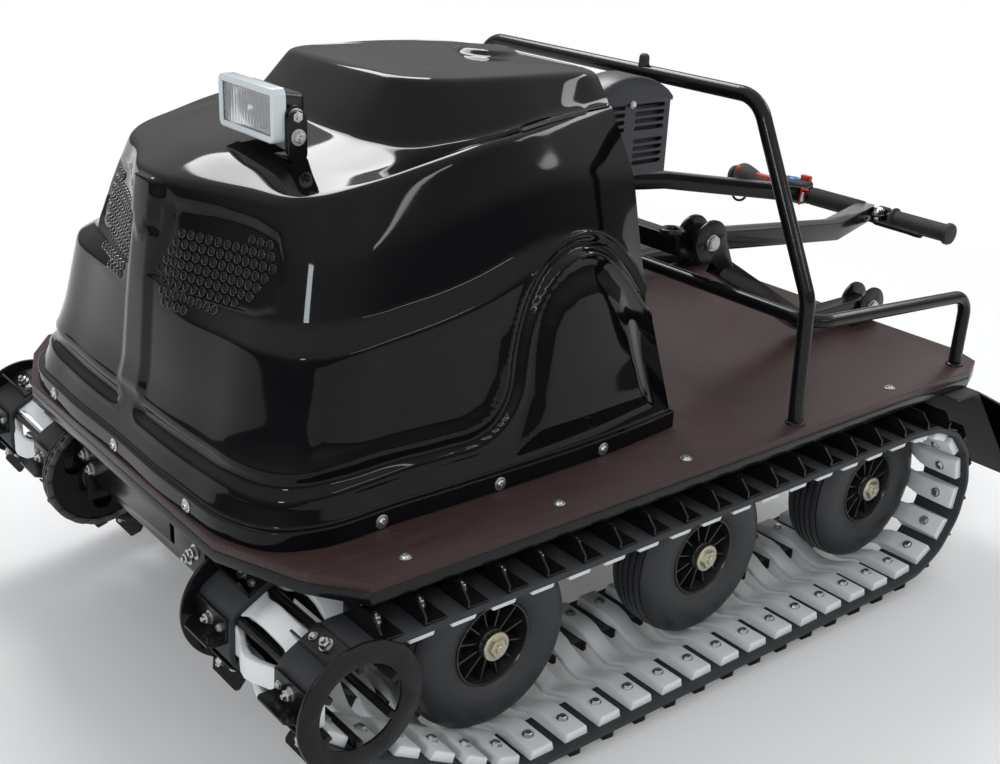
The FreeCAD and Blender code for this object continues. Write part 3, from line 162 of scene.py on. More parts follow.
def add_bar(bm, start, end, radius, sides=24, radius_end=None, round_ends=0.0):
    """A round bar from one point to another, given in millimetres."""
    first, last = at(*start), at(*end)
    along = last - first
    matrix = Matrix.Translation((first + last) / 2.0) @ turned_to(along)
    made = bmesh.ops.create_cone(
        bm, cap_ends=True, segments=sides, radius1=radius / 1000.0,
        radius2=(radius if radius_end is None else radius_end) / 1000.0,
        depth=along.length, matrix=matrix)
    if round_ends:
        rims = {edge for vert in made["verts"] for edge in vert.link_edges
                if any(len(face.verts) > 4 for face in edge.link_faces)}
        round_edges(bm, rims, round_ends)


def add_turned(bm, profile, centre, axis, steps=48):
    """Spin a profile of (radius, distance along the axis) about an axis."""
    matrix = Matrix.Translation(at(*centre)) @ turned_to(axis)
    verts = [bm.verts.new(matrix @ Vector((r / 1000.0, 0.0, d / 1000.0))) for r, d in profile]
    edges = [bm.edges.new(pair) for pair in zip(verts, verts[1:])]
    bmesh.ops.spin(
        bm, geom=verts + edges, cent=at(*centre), axis=matrix.to_3x3() @ Vector((0.0, 0.0, 1.0)),
        angle=2.0 * math.pi, steps=steps, use_merge=True)


def close_up(bm):
    """Merge what a spin or a mirror left double, and point the faces outwards."""
    bmesh.ops.remove_doubles(bm, verts=bm.verts, dist=0.00001)
    bmesh.ops.recalc_face_normals(bm, faces=bm.faces)


def face_away(bm, centre):
    """Turn an open wall so that its faces point away from a place inside it."""
    bmesh.ops.recalc_face_normals(bm, faces=bm.faces)
    if sum(face.normal.dot(face.calc_center_median() - centre) for face in bm.faces) < 0.0:
        bmesh.ops.reverse_faces(bm, faces=bm.faces)


# %% [markdown]
# A shape that occurs many times, such as a track shoe or a bolt, is modelled once
# about the origin. Copies of it are then set down wherever a matrix says.

# %% Repeat a shape
def as_template(bm, name):
    """Keep a bmesh as a mesh to copy from."""
    close_up(bm)
    mesh = bpy.data.meshes.new(name)
    bm.to_mesh(mesh)
    bm.free()
    return mesh


def set_down(bm, template, matrices):
    """Put a copy of a template into a bmesh for each matrix."""
    for matrix in matrices:
        copy = template.copy()
        copy.transform(matrix)
        bm.from_mesh(copy)
        bpy.data.meshes.remove(copy)


def turned_template(name, profile, steps):
    """A template turned about Z from a profile of (radius, height)."""
    bm = bmesh.new()
    verts = [bm.verts.new((r / 1000.0, 0.0, d / 1000.0)) for r, d in profile]
    edges = [bm.edges.new(pair) for pair in zip(verts, verts[1:])]
    bmesh.ops.spin(bm, geom=verts + edges, cent=(0.0, 0.0, 0.0), axis=(0.0, 0.0, 1.0),
                   angle=2.0 * math.pi, steps=steps, use_merge=True)
    return as_template(bm, name)


def bolt_template(name, across=13.0, height=6.0, washer=9.0, stud=0.0):
    """A hexagon bolt head on a washer, standing on the origin along Z."""
    bm = bmesh.new()
    scale = 1.0 / 1000.0
    bmesh.ops.create_cone(
        bm, cap_ends=True, segments=20, radius1=washer * scale, radius2=washer * scale,
        depth=1.6 * scale, matrix=Matrix.Translation((0.0, 0.0, 0.8 * scale)))
    head = bmesh.ops.create_cone(
        bm, cap_ends=True, segments=6, radius1=across / 1.732 * scale,
        radius2=across / 1.732 * scale, depth=height * scale,
        matrix=Matrix.Translation((0.0, 0.0, (1.6 + height / 2.0) * scale)))
    top = [edge for vert in head["verts"] for edge in vert.link_edges
           if all(v.co.z > (1.2 + height) * scale for v in edge.verts)]
    round_edges(bm, set(top), 0.9, segments=1)
    if stud:
        bmesh.ops.create_cone(
            bm, cap_ends=True, segments=12, radius1=across * 0.31 * scale,
            radius2=across * 0.27 * scale, depth=stud * scale,
            matrix=Matrix.Translation((0.0, 0.0, (1.6 + height + stud / 2.0) * scale)))
    return as_template(bm, name)


def standing_on(point, direction, spin=0.0):
    """The matrix that stands a template on a point, along a direction."""
    return Matrix.Translation(at(*point)) @ turned_to(direction) @ Matrix.Rotation(spin, 4, "Z")


# %% [markdown]
# ## Finishes
# Several materials share the same effects. Each effect is a node group with named
# sockets, built once: fine grain for moulded and painted skins, scuffs that break
# the gloss, and dust that settles on what faces up. They read Object coordinates,
# so a pattern stays on its part when the part moves.

# %% Tools for node groups
def new_group(name, inputs, outputs):
    """A node group with named number inputs, and outputs of the kinds given."""
    tree = bpy.data.node_groups.new(name, "ShaderNodeTree")
    for label, default in inputs:
        socket = tree.interface.new_socket(
            name=label, in_out="INPUT", socket_type="NodeSocketFloat")
        socket.default_value = default
    for label, kind in outputs:
        tree.interface.new_socket(name=label, in_out="OUTPUT", socket_type=kind)
    return tree, tree.nodes.new("NodeGroupInput"), tree.nodes.new("NodeGroupOutput")


def node(tree, kind, **settings):
    """Add a node and set its properties or its inputs' values."""
    made = tree.nodes.new(kind)
    for key, value in settings.items():
        if hasattr(made, key):
            setattr(made, key, value)
        else:
            made.inputs[key.replace("_", " ")].default_value = value
    return made


def math_node(tree, operation, first, second=None, clamp=False):
    """A math node fed by sockets or plain numbers."""
    made = tree.nodes.new("ShaderNodeMath")
    made.operation = operation
    made.use_clamp = clamp
    for socket, value in zip(made.inputs, (first, second)):
        if value is None:
            continue
        if hasattr(value, "links"):
            tree.links.new(value, socket)
        else:
            socket.default_value = value
    return made.outputs[0]


# %% Grain, scuffs and dust
def make_grain_group():
    """Fine grain: a height and a soft mask from two sizes of noise."""
    tree, given, result = new_group(
        "Fine grain", [("Scale", 400.0), ("Unevenness", 0.5)],
        [("Height", "NodeSocketFloat"), ("Mask", "NodeSocketFloat")])
    place = node(tree, "ShaderNodeTexCoord")
    fine = node(tree, "ShaderNodeTexNoise", Detail=3.0, Roughness=0.6)
    broad = node(tree, "ShaderNodeTexNoise", Scale=9.0, Detail=4.0, Roughness=0.55)
    tree.links.new(place.outputs["Object"], fine.inputs["Vector"])
    tree.links.new(place.outputs["Object"], broad.inputs["Vector"])
    tree.links.new(given.outputs["Scale"], fine.inputs["Scale"])
    uneven = math_node(tree, "MULTIPLY", broad.outputs["Fac"], given.outputs["Unevenness"])
    height = math_node(tree, "ADD", fine.outputs["Fac"], uneven)
    tree.links.new(height, result.inputs["Height"])
    tree.links.new(broad.outputs["Fac"], result.inputs["Mask"])
    return tree


def make_scuff_group():
    """Scuffs: thin broken lines in two directions, as a mask from 0 to 1."""
    tree, given, result = new_group(
        "Scuffs", [("Amount", 0.3), ("Size", 1.0)], [("Mask", "NodeSocketFloat")])
    place = node(tree, "ShaderNodeTexCoord")
    masks = []
    for stretch, turn in (((14.0, 2.0, 90.0), 0.5), ((90.0, 12.0, 2.0), -0.4)):
        mapping = node(tree, "ShaderNodeMapping")
        mapping.inputs["Scale"].default_value = stretch
        mapping.inputs["Rotation"].default_value = (turn, turn * 0.6, turn * 1.7)
        noise = node(tree, "ShaderNodeTexNoise", Detail=5.0, Roughness=0.65)
        tree.links.new(place.outputs["Object"], mapping.inputs["Vector"])
        tree.links.new(mapping.outputs["Vector"], noise.inputs["Vector"])
        tree.links.new(given.outputs["Size"], noise.inputs["Scale"])
        ramp = node(tree, "ShaderNodeMapRange", From_Min=0.60, From_Max=0.72)
        tree.links.new(noise.outputs["Fac"], ramp.inputs["Value"])
        masks.append(ramp.outputs["Result"])
    both = math_node(tree, "MAXIMUM", masks[0], masks[1])
    tree.links.new(math_node(tree, "MULTIPLY", both, given.outputs["Amount"], True),
                   result.inputs["Mask"])
    return tree


def make_dust_group():
    """Dust: a patchy mask on the faces that look upwards."""
    tree, given, result = new_group("Dust", [("Amount", 0.3)], [("Mask", "NodeSocketFloat")])
    place = node(tree, "ShaderNodeTexCoord")
    surface = node(tree, "ShaderNodeNewGeometry")
    split = node(tree, "ShaderNodeSeparateXYZ")
    noise = node(tree, "ShaderNodeTexNoise", Scale=14.0, Detail=6.0, Roughness=0.65)
    tree.links.new(place.outputs["Object"], noise.inputs["Vector"])
    tree.links.new(surface.outputs["Normal"], split.inputs["Vector"])
    up = node(tree, "ShaderNodeMapRange", From_Min=0.2, From_Max=1.0)
    tree.links.new(split.outputs["Z"], up.inputs["Value"])
    patch = node(tree, "ShaderNodeMapRange", From_Min=0.35, From_Max=0.75)
    tree.links.new(noise.outputs["Fac"], patch.inputs["Value"])
    mask = math_node(tree, "MULTIPLY", up.outputs["Result"], patch.outputs["Result"])
    tree.links.new(math_node(tree, "MULTIPLY", mask, given.outputs["Amount"], True),
                   result.inputs["Mask"])
    return tree


GRAIN = make_grain_group()
SCUFFS = make_scuff_group()
DUST = make_dust_group()


# %% [markdown]
# A finish is then described by its colour, a second colour that it drifts to, its
# roughness and how strong each effect is. The shader itself stays in the material.

# %% A coated or moulded finish
def place_group(tree, group, **values):
    """Place a shared group in a material with its own values."""
    made = tree.nodes.new("ShaderNodeGroup")
    made.node_tree = group
    for key, value in values.items():
        made.inputs[key].default_value = value
    return made


def finish(name, colour, drift, roughness=0.4, spread=0.1, grain=400.0, bump=0.05,
           scuffs=0.2, scuff_colour=None, dust=0.1, dust_colour=(0.32, 0.30, 0.28),
           metallic=0.0, specular=0.5):
    """A procedural finish: colour that drifts, gloss that varies, fine relief."""
    material = bpy.data.materials.new(name)
    material.use_nodes = True
    tree = material.node_tree
    shader = tree.nodes["Principled BSDF"]
    shader.inputs["Metallic"].default_value = metallic
    shader.inputs["Specular IOR Level"].default_value = specular
    fine = place_group(tree, GRAIN, Scale=grain, Unevenness=0.6)
    marks = place_group(tree, SCUFFS, Amount=scuffs, Size=1.0)
    settled = place_group(tree, DUST, Amount=dust)
    base = node(tree, "ShaderNodeMix", data_type="RGBA")
    base.inputs["A"].default_value = (*colour, 1.0)
    base.inputs["B"].default_value = (*drift, 1.0)
    tree.links.new(fine.outputs["Mask"], base.inputs["Factor"])
    worn = node(tree, "ShaderNodeMix", data_type="RGBA")
    paler = tuple(min(1.0, channel * 1.6 + 0.02) for channel in drift)
    worn.inputs["B"].default_value = (*(scuff_colour or paler), 1.0)
    tree.links.new(base.outputs["Result"], worn.inputs["A"])
    tree.links.new(marks.outputs["Mask"], worn.inputs["Factor"])
    dusty = node(tree, "ShaderNodeMix", data_type="RGBA")
    dusty.inputs["B"].default_value = (*dust_colour, 1.0)
    tree.links.new(worn.outputs["Result"], dusty.inputs["A"])
    tree.links.new(settled.outputs["Mask"], dusty.inputs["Factor"])
    tree.links.new(dusty.outputs["Result"], shader.inputs["Base Color"])
    rough = node(tree, "ShaderNodeMapRange", To_Min=roughness - spread, To_Max=roughness + spread)
    tree.links.new(fine.outputs["Mask"], rough.inputs["Value"])
    dulled = math_node(tree, "MULTIPLY", marks.outputs["Mask"], 0.5)
    total = math_node(tree, "ADD", rough.outputs["Result"], dulled)
    dusted = math_node(tree, "MULTIPLY", settled.outputs["Mask"], 0.6)
    tree.links.new(math_node(tree, "ADD", total, dusted, True), shader.inputs["Roughness"])
    if bump:
        relief = node(tree, "ShaderNodeBump", Strength=bump, Distance=0.001)
        tree.links.new(fine.outputs["Height"], relief.inputs["Height"])
        tree.links.new(relief.outputs["Normal"], shader.inputs["Normal"])
    return material


BLACK_PAINT = finish("black_paint", (0.004, 0.004, 0.005), (0.008, 0.008, 0.009), roughness=0.18,
                     spread=0.06, grain=260.0, bump=0.10, scuffs=0.10,
                     scuff_colour=(0.06, 0.055, 0.05), dust=0.03, specular=0.24)
HOOD_GLOSS = finish("hood_gloss", (0.002, 0.002, 0.003), (0.004, 0.004, 0.005), roughness=0.055,
                    spread=0.025, grain=5.0, bump=0.06, scuffs=0.02,
                    scuff_colour=(0.02, 0.02, 0.02), dust=0.01, specular=0.18)
HOOD_LINING = finish("hood_lining", (0.012, 0.012, 0.012), (0.02, 0.02, 0.02), roughness=0.62)
BELT_RUBBER = finish("belt_rubber", (0.012, 0.014, 0.016), (0.030, 0.035, 0.040), roughness=0.66,
                     spread=0.12, grain=500.0, bump=0.35, scuffs=0.35,
                     scuff_colour=(0.065, 0.07, 0.075), dust=0.15, dust_colour=(0.16, 0.16, 0.16))
TYRE_RUBBER = finish("tyre_rubber", (0.013, 0.014, 0.016), (0.030, 0.032, 0.037), roughness=0.44,
                     spread=0.12, grain=300.0, bump=0.15, scuffs=0.25,
                     scuff_colour=(0.07, 0.065, 0.06), dust=0.18)
SADDLE_PLASTIC = finish("saddle_plastic", (0.78, 0.80, 0.80), (0.86, 0.88, 0.88), roughness=0.36,
                        spread=0.10, grain=120.0, bump=0.08, scuffs=0.25,
                        scuff_colour=(0.62, 0.60, 0.57), dust=0.06, dust_colour=(0.5, 0.49, 0.47))
RIM_PLASTIC = finish("rim_plastic", (0.008, 0.008, 0.009), (0.014, 0.014, 0.015), roughness=0.20,
                     spread=0.08)
ZINC = finish("zinc", (0.58, 0.58, 0.56), (0.44, 0.46, 0.48), roughness=0.32, spread=0.10,
              grain=900.0, bump=0.10, scuffs=0.3, scuff_colour=(0.30, 0.29, 0.26), dust=0.0,
              metallic=0.95)
YELLOW_ZINC = finish("yellow_zinc", (0.62, 0.56, 0.40), (0.48, 0.48, 0.44), roughness=0.30,
                     spread=0.10, grain=900.0, bump=0.10, scuffs=0.3,
                     scuff_colour=(0.32, 0.28, 0.2), dust=0.0, metallic=0.95)
CHAIN_STEEL = finish("chain_steel", (0.16, 0.155, 0.15), (0.10, 0.095, 0.09), roughness=0.40,
                     spread=0.12, grain=900.0, bump=0.15, scuffs=0.4,
                     scuff_colour=(0.34, 0.33, 0.31), dust=0.0, metallic=0.9)
ENGINE_METAL = finish("engine_metal", (0.030, 0.030, 0.032), (0.055, 0.055, 0.058), roughness=0.55,
                      dust=0.2)
GUARD_METAL = finish("guard_metal", (0.012, 0.014, 0.020), (0.022, 0.026, 0.034), roughness=0.34,
                     spread=0.08, grain=300.0, bump=0.10, scuffs=0.15)
LAMP_SHELL = finish("lamp_shell", (0.010, 0.010, 0.011), (0.018, 0.018, 0.020), roughness=0.26,
                    grain=200.0)
LAMP_FRAME = finish("lamp_frame", (0.66, 0.72, 0.74), (0.76, 0.81, 0.82), roughness=0.10,
                    spread=0.03, grain=60.0, scuffs=0.1, scuff_colour=(0.55, 0.58, 0.6), dust=0.0)
VENT_GLOSS = finish("vent_gloss", (0.003, 0.003, 0.004), (0.006, 0.006, 0.007), roughness=0.16,
                    spread=0.04, grain=60.0, scuffs=0.05, dust=0.0, specular=0.9)
GRIP_RUBBER = finish("grip_rubber", (0.012, 0.012, 0.012), (0.026, 0.026, 0.026), roughness=0.66,
                     spread=0.1, grain=700.0, bump=0.25, dust=0.1)
FLAP_RUBBER = finish("flap_rubber", (0.012, 0.012, 0.012), (0.024, 0.023, 0.022), roughness=0.60,
                     bump=0.15, dust=0.1)
RED_PLASTIC = finish("red_plastic", (0.55, 0.015, 0.008), (0.68, 0.03, 0.015), roughness=0.30,
                     scuffs=0.1)
BLUE_PLASTIC = finish("blue_plastic", (0.01, 0.14, 0.42), (0.02, 0.20, 0.52), roughness=0.28,
                      scuffs=0.1)
# near-black paint for the discs of painted shade that stand inside the vent tubes
VENT_SHADE_PAINT = finish("vent_shade_paint", (0.002, 0.002, 0.002), (0.004, 0.004, 0.004), roughness=0.8,
                   dust=0.0)
print(len(bpy.data.materials), "finishes")

# %% [markdown]
# The deck is film-faced plywood: a dark red-brown resin film with a fine woven
# grid pressed into it against slipping. Two wave textures at right angles make
# the grid, and broad noise makes the paler, worn places where loads slide.

# %% Deck board
def make_deck_board():
    """Film-faced plywood with a pressed grid."""
    material = finish("deck_board", (0.034, 0.015, 0.014), (0.052, 0.028, 0.027), roughness=0.36,
                      spread=0.08, grain=240.0, bump=0.0, scuffs=0.16,
                      scuff_colour=(0.12, 0.075, 0.07), dust=0.10, dust_colour=(0.16, 0.11, 0.10),
                      specular=0.24)
    tree = material.node_tree
    shader = tree.nodes["Principled BSDF"]
    place = node(tree, "ShaderNodeTexCoord")
    grid = []
    for axis in ("X", "Y"):
        wave = node(tree, "ShaderNodeTexWave", bands_direction=axis, Scale=62.0, Distortion=0.0)
        tree.links.new(place.outputs["Object"], wave.inputs["Vector"])
        grid.append(wave.outputs["Fac"])
    woven = math_node(tree, "MULTIPLY", grid[0], grid[1])
    relief = node(tree, "ShaderNodeBump", Strength=0.35, Distance=0.0006)
    tree.links.new(woven, relief.inputs["Height"])
    tree.links.new(relief.outputs["Normal"], shader.inputs["Normal"])
    return material


DECK_BOARD = make_deck_board()


# %% [markdown]
# The lamp's lens is clear moulded glass, so it keeps a plain transmission. Its
# ribs are modelled, and a little slow noise stands for the ripple of the mould.

# %% Clear lens
def make_lens():
    """Clear glass with the slight ripple of its mould."""
    material = bpy.data.materials.new("lamp_glass")
    material.use_nodes = True
    tree = material.node_tree
    shader = tree.nodes["Principled BSDF"]
    shader.inputs["Base Color"].default_value = (0.92, 0.94, 0.96, 1.0)
    shader.inputs["Roughness"].default_value = 0.04
    shader.inputs["Transmission Weight"].default_value = 0.9
    shader.inputs["IOR"].default_value = 1.45
    place = node(tree, "ShaderNodeTexCoord")
    ripple = node(tree, "ShaderNodeTexNoise", Scale=60.0, Detail=1.0)
    tree.links.new(place.outputs["Object"], ripple.inputs["Vector"])
    relief = node(tree, "ShaderNodeBump", Strength=0.05, Distance=0.001)
    tree.links.new(ripple.outputs["Fac"], relief.inputs["Height"])
    tree.links.new(relief.outputs["Normal"], shader.inputs["Normal"])
    return material


LAMP_GLASS = make_lens()
MIRROR = finish("lamp_reflector", (0.86, 0.87, 0.88), (0.78, 0.79, 0.80), roughness=0.12,
                spread=0.05, bump=0.0, scuffs=0.0, dust=0.0, metallic=0.95)

# %% [markdown]
# ## CAD nodes that stay
# Frames, arms and brackets have the right shape already, so each keeps its mesh
# and takes a finish in its material slots.

# %% Finish the CAD nodes
CAD_FINISHES = {
    "black_paint": BLACK_PAINT, "hood_gloss": HOOD_GLOSS, "deck_ply": DECK_BOARD,
    "belt_rubber": BELT_RUBBER, "saddle_plastic": SADDLE_PLASTIC, "tyre_rubber": TYRE_RUBBER,
    "rim_plastic": RIM_PLASTIC, "zinc": ZINC, "chain_steel": CHAIN_STEEL,
    "engine_metal": ENGINE_METAL, "guard_metal": GUARD_METAL, "lamp_shell": LAMP_SHELL,
    "lamp_glass": LAMP_GLASS, "grip_rubber": GRIP_RUBBER, "flap_rubber": FLAP_RUBBER,
}
for name, solid in frame["nodes"].items():
    slot = next(row["material_slot"] for row in frame["record"]["subparts"] if row["node"] == name)
    for index in range(len(solid.data.materials)):
        solid.material_slots[index].material = CAD_FINISHES[slot]
print(len(frame["nodes"]), "CAD nodes finished")

# %% [markdown]
# ## The hood
# The hood is one moulding of black gloss plastic over the engine. It is drawn as
# level rings from its foot to its crown, each named for the line that it follows.
# A free-form skin suits it: blocks would give facets, and the gloss would show
# every one of them. Each ring runs from the nose's middle to the open rear edge.

# %% The hood's rings
HOOD_RINGS = {
    "foot of the band": (
        (0, -722, 367), (180, -722, 367), (300, -706, 367), (348, -664, 367),
        (358, -520, 367), (360, -390, 367), (360, -300, 367), (359, -240, 367),
        (356, -180, 367), (351, -120, 367), (343, -51, 367)),
    "top of the band": (
        (0, -722, 391), (180, -722, 391), (300, -706, 391), (348, -664, 391),
        (358, -520, 391), (360, -390, 391), (360, -300, 391), (359, -240, 391),
        (356, -180, 391), (351, -120, 391), (343, -51, 391)),
    "foot of the body": (
        (0, -714, 391), (177, -714, 391), (295, -699, 391), (340, -660, 391),
        (350, -520, 391), (351, -390, 391), (350, -300, 391), (349, -240, 391),
        (346, -180, 391), (341, -120, 391), (333, -51, 391)),
    "lower body": (
        (0, -686, 480), (170, -682, 480), (286, -664, 480), (326, -626, 480),
        (335, -510, 480), (336, -386, 480), (334, -300, 480), (329, -240, 480),
        (321, -180, 480), (310, -120, 480), (297, -51, 480)),
    "edge of the shelf": (
        (0, -677, 566), (160, -664, 575), (284, -638, 578), (318, -596, 580),
        (323, -500, 586), (317, -382, 602), (307, -300, 622), (300, -240, 631),
        (290, -180, 627), (279, -120, 604), (262, -51, 566)),
    "back of the shelf": (
        (0, -674, 600), (148, -648, 600), (262, -612, 600), (292, -566, 602),
        (300, -480, 612), (296, -382, 626), (290, -300, 648), (284, -240, 657),
        (277, -180, 652), (268, -120, 632), (252, -51, 598)),
    "upper side": (
        (0, -664, 665), (144, -628, 667), (246, -590, 670), (274, -540, 675),
        (283, -470, 686), (281, -382, 704), (275, -300, 719), (267, -240, 724),
        (257, -180, 721), (243, -120, 714), (226, -51, 700)),
    "edge of the bonnet": (
        (0, -656, 727), (140, -608, 727), (226, -568, 732), (250, -500, 746),
        (259, -422, 764), (254, -345, 777), (244, -280, 783), (232, -238, 785),
        (217, -190, 786), (198, -130, 785), (173, -51, 783)),
    "middle of the bonnet": (
        (0, -580, 753), (104, -560, 749), (176, -524, 748), (216, -474, 752),
        (236, -414, 763), (236, -345, 773), (230, -280, 780), (222, -236, 785),
        (211, -190, 788), (194, -130, 788), (170, -51, 786)),
    "foot of the bulge": (
        (0, -452, 776), (104, -446, 773), (152, -430, 770), (186, -408, 769),
        (205, -350, 772), (212, -285, 778), (211, -238, 785), (204, -190, 790),
        (188, -130, 791), (176, -90, 790), (165, -51, 790)),
    "top edge of the bulge": (
        (0, -392, 842), (90, -388, 842), (124, -382, 841), (142, -366, 840),
        (156, -337, 839), (164, -290, 838), (168, -242, 838), (167, -190, 837),
        (161, -130, 835), (152, -86, 832), (136, -51, 826)),
    "crown": (
        (0, -340, 846), (70, -336, 845), (98, -330, 844), (110, -318, 844),
        (117, -290, 843), (119, -260, 842), (120, -225, 841), (119, -180, 840),
        (116, -130, 838), (110, -86, 835), (100, -51, 830)),
}
# how round each ring's edge is, and how many strips lie between it and the next
HOOD_EDGES = {
    "top of the band": 2.5, "foot of the body": 2.5, "edge of the shelf": 5.0,
    "back of the shelf": 5.0, "edge of the bonnet": 8.0, "foot of the bulge": 8.0,
    "top edge of the bulge": 8.0,
}
HOOD_STRIPS = (1, 1, 4, 4, 2, 4, 3, 3, 3, 3, 3)
STEPS_BETWEEN_POINTS = 5
CROWN_CUTS = 9
HOOD_WALL = 3.0
print(len(HOOD_RINGS), "rings")


# %% [markdown]
# A ring's points are few, so a Bezier curve with automatic handles is laid through
# them and read back as many more. It passes through every point that was given.

# %% A smooth line through a ring's points
def smooth_line(points, steps):
    """Points along a curve that passes through the points given, in metres."""
    curve = bpy.data.curves.new("line", "CURVE")
    curve.dimensions = "3D"
    curve.resolution_u = steps
    spline = curve.splines.new("BEZIER")
    spline.bezier_points.add(len(points) - 1)
    for knot, point in zip(spline.bezier_points, points):
        knot.co = at(*point)
        knot.handle_left_type = knot.handle_right_type = "AUTO"
    holder = bpy.data.objects.new("line", curve)
    bpy.context.scene.collection.objects.link(holder)
    bpy.context.view_layer.update()
    mesh = bpy.data.meshes.new_from_object(
        holder.evaluated_get(bpy.context.evaluated_depsgraph_get()))
    line = [vert.co.copy() for vert in mesh.vertices]
    bpy.data.objects.remove(holder)
    bpy.data.curves.remove(curve)
    bpy.data.meshes.remove(mesh)
    return line


def whole_ring(half):
    """A half ring and its mirror image as one line, from left rear to right rear."""
    left = list(reversed(half))
    right = [(-x, y, z) for x, y, z in half[1:]]
    return smooth_line(left + right, STEPS_BETWEEN_POINTS)


# %% [markdown]
# Neighbouring rings are joined with strips of faces, and the two legs of the
# crown ring are joined across the top. Bevels then give each styling line the
# radius that it has in the mould.

# %% The hood's skin
def hood_cage():
    """The hood's skin as strips of faces between its rings."""
    bm = bmesh.new()
    rings = []
    for name, half in HOOD_RINGS.items():
        verts = [bm.verts.new(point) for point in whole_ring(half)]
        edges = [bm.edges.new(pair) for pair in zip(verts, verts[1:])]
        rings.append((name, verts, edges))
    rungs = []
    for (_, low, _), (_, high, _) in zip(rings, rings[1:]):
        strip = [bm.edges.new(pair) for pair in zip(low, high)]
        for index in range(len(low) - 1):
            bm.faces.new((low[index], low[index + 1], high[index + 1], high[index]))
        rungs.append(strip)
    crown = rings[-1][1]
    last = len(crown) - 1
    for index in range(last // 2 - 1):
        bm.faces.new((crown[index], crown[index + 1], crown[last - index - 1], crown[last - index]))
    middle = last // 2
    bm.faces.new((crown[middle - 1], crown[middle], crown[middle + 1]))
    across = [edge for edge in bm.edges if edge.verts[0] in crown and edge.verts[1] in crown
              and len(edge.link_faces) == 2 and edge not in rings[-1][2]]
    return bm, rings, rungs, across


bm, rings, rungs, across = hood_cage()
for strip, cuts in zip(rungs, HOOD_STRIPS):
    if cuts > 1:
        bmesh.ops.subdivide_edges(bm, edges=strip, cuts=cuts - 1, use_grid_fill=True)
bmesh.ops.subdivide_edges(
    bm, edges=[e for e in across if e.is_valid], cuts=CROWN_CUTS, use_grid_fill=True)
for name, verts, edges in rings:
    if name in HOOD_EDGES:
        round_edges(bm, [e for e in edges if e.is_valid], HOOD_EDGES[name], segments=3)
close_up(bm)
print("cage:", len(bm.faces), "faces")

# %% [markdown]
# The mould's smaller forms are pressed into the finished skin: two levels of
# subdivision make it fine enough, and each point then moves along its own normal.
# How far depends on how near it lies to a styling line. A search tree holds
# points along the channel, and the other forms are measured against their outlines.

# %% A fine skin to press forms into
def subdivided(bm, name, levels):
    """The mesh that a Subdivision Surface of some levels makes of a bmesh."""
    mesh = bpy.data.meshes.new(name)
    bm.to_mesh(mesh)
    holder = bpy.data.objects.new(name, mesh)
    bpy.context.scene.collection.objects.link(holder)
    modifier = holder.modifiers.new("smooth", "SUBSURF")
    modifier.levels = modifier.render_levels = levels
    modifier.boundary_smooth = "PRESERVE_CORNERS"
    fine = bpy.data.meshes.new_from_object(
        holder.evaluated_get(bpy.context.evaluated_depsgraph_get()))
    bpy.data.objects.remove(holder)
    bpy.data.meshes.remove(mesh)
    return fine


def line_tree(points, steps=24):
    """A search tree along a smooth line through points in millimetres."""
    line = smooth_line(points, steps)
    tree = kdtree.KDTree(len(line))
    for index, point in enumerate(line):
        tree.insert(point, index)
    tree.balance()
    return tree


def eased(value):
    """0 below 0, 1 above 1, and a soft rise between."""
    value = min(1.0, max(0.0, value))
    return value * value * (3.0 - 2.0 * value)


# %% The styling lines of one side
# a channel runs from the nose along the foot, climbs, and arches over the rear
CHANNEL = (
    (36, -704, 434), (93, -702, 434), (173, -698, 434), (248, -690, 434), (300, -676, 434),
    (335, -645, 436), (345, -600, 438), (336, -515, 438), (336, -450, 437), (336, -400, 438),
    (334, -366, 452), (331, -341, 482), (328, -330, 520), (324, -316, 560),
    (314, -292, 598), (304, -262, 624), (296, -225, 638), (288, -185, 640),
    (280, -145, 626), (272, -105, 596), (270, -70, 556), (272, -50, 525))
CHANNEL_HALF_WIDTH = 13.0
CHANNEL_DEPTH = 6.0
CHANNEL_LIP = 1.6
# the panel between the channel and the shelf lies a little lower
PANEL = ((-632, 466), (-500, 462), (-420, 460), (-385, 470), (-362, 500), (-352, 530),
         (-340, 562), (-335, 572), (-440, 566), (-560, 562), (-612, 560))
PANEL_DEPTH = 2.5
# the arch below the channel swells out over the rear
ARCH = ((-355, 400), (-318, 470), (-306, 520), (-292, 566), (-268, 596), (-225, 612),
        (-180, 612), (-145, 596), (-112, 566), (-90, 520), (-80, 400))
ARCH_RISE = 6.0
# the panel and the arch fade in from here towards the side
SIDE_FROM_X = 225.0
# nothing is pressed into the band at the foot
BAND_TOP_Z = 391.0
# a flat rib runs down the middle of the nose from a bare, shield-shaped plate
RIB_HALF_WIDTH = 27.0
RIB_RISE = 5.0
RIB_FOOT_Z = 448.0
RIB_TOP_Z = 655.0
SHIELD = ((0, 642), (14, 652), (26, 672), (33, 700), (30, 716), (22, 722), (-22, 722), (-30, 716),
          (-33, 700), (-26, 672), (-14, 652))
SHIELD_RISE = 8.0
# the panel with the vents lies deeper than the face round it
VENT_PANEL = ((36, 604), (70, 596), (214, 602), (238, 612), (238, 640), (230, 668), (214, 692),
              (180, 700), (110, 704), (48, 700))
VENT_PANEL_DEPTH = 5.0
# the low round boss over the filler, on the crown
BOSS = (0.0, -138.0)
BOSS_RADIUS = 52.0
BOSS_TOP_RADIUS = 34.0
BOSS_RISE = 8.5
BOSS_DISH = 2.0
CROWN_FROM_Z = 800.0


